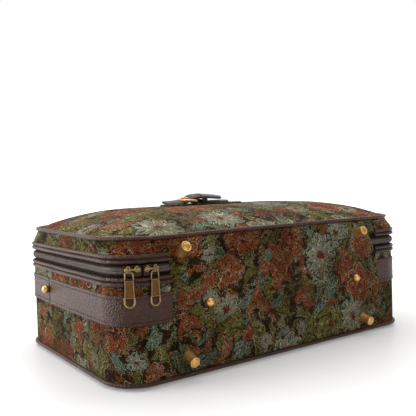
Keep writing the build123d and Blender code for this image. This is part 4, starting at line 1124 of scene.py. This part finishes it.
body_rows = [(lining_inset, z, corner) for z in [124.0, 122.0] + list(np.linspace(112.0, 12.0, 9))]
body_rows += [floor_row(corner, *row) for row in ((4.6, 9.8), (6.0, 8.8), (9.0, lining_floor))]
body_rows += [floor_row(corner, inset, lining_floor) for inset in np.linspace(14.0, lining_middle, 16)]
tub("body_lining_cloth", "body_lining", body_rows, lining_thick, lining_cloth, "body")
lid_rows = [(lining_inset, z, float(corner_at(z))) for z in (150.2, 152.0, 156.0, 160.0, 164.0, 168.0, 171.0)]
for share in [0.04, 0.08, 0.14] + list(np.linspace(0.2, 0.97, 16)) + [1.0]:
    inset = min(share * middle_inset + 1.0, lining_middle)
    lid_rows.append(floor_row(67.0, inset, front_seam + lid_height(share) - lid_lining_gap))
tub("lid_lining_cloth", "lid_lining", lid_rows, lining_thick, lining_cloth, "lid")
board_rows = [(board_inset, z, float(corner_at(z))) for z in (150.2, 156.0, 162.0, 168.0, 172.0)]
tub("lid_board_wall", "lid_frame", board_rows, board_thick, board_cloth, "lid")

# Carry handle grip: leather rolled over a core, fuller in the middle and bent up at both ends
# to its brass ends, with its seam stitched along the inside of the bend.
grip_radius, grip_gap, plate_thick, grip_bend = 6.5, 0.7, 1.5, 22.0
handle_y = half_width + band_thick + plate_thick + grip_gap + grip_radius
grip_half, grip_top, grip_bottom = 64.0, 83.4, 56.0
grip_ends = [np.array([side * grip_half, handle_y, grip_top]) for side in (-1, 1)]
grip_line = [grip_ends[0] - (0.0, 0.0, step) for step in (0.0, 1.8, 3.6)]
for side, into, out in ((-1, (0, 0, 1), (1, 0, 0)), (1, (-1, 0, 0), (0, 0, 1))):
    into, out = np.array(into), np.array(out)
    centre = np.array([side * grip_half, handle_y, grip_bottom]) + grip_bend * (into + out)
    for step in np.linspace(0, math.pi / 2, 14):
        grip_line.append(centre - grip_bend * (math.cos(step) * out + math.sin(step) * into))
    if side < 0:
        grip_line += [np.array((x, handle_y, grip_bottom)) for x in np.linspace(-38.0, 38.0, 20)]
grip_line = np.array(grip_line + [grip_ends[1] - (0.0, 0.0, step) for step in (3.6, 1.8, 0.0)])
run = run_of(grip_line)
fullness = 6.1 + 1.0 * np.maximum(np.sin(math.pi * run / run[-1]), 0.0) ** 0.6 + 0.08 * np.sin(run * 0.5)
grip = rod("handle_grip_roll", grip_line, fullness, strap_leather, sides=28)
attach(grip, "handle")
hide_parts("handle_grip")
inward = unit(np.array([0.0, handle_y, 96.0]) - grip_line)
ahead = unit(np.gradient(grip_line, axis=0))
inward = unit(inward - ahead * np.sum(inward * ahead, axis=1)[:, None])
seam = grip_line + inward * (fullness[:, None] - 0.1)
row = stitch_row("handle_grip_stitches", seam[2:-2], inward[2:-2], pitch=3.4)
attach(row, "handle")

# Plates, ends, prong and boards: pieces whose shape is already whole in the frame take only
# their finish, cast brass or paper board.
for finish, nodes in (
    (bright_brass, ("handle_plates", "handle_ends", "buckle_prong")),
    (board_cloth, ("back_board", "body_frame")),
):
    for node in nodes:
        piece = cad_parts[node]
        piece.data.materials.clear()
        piece.data.materials.append(finish)
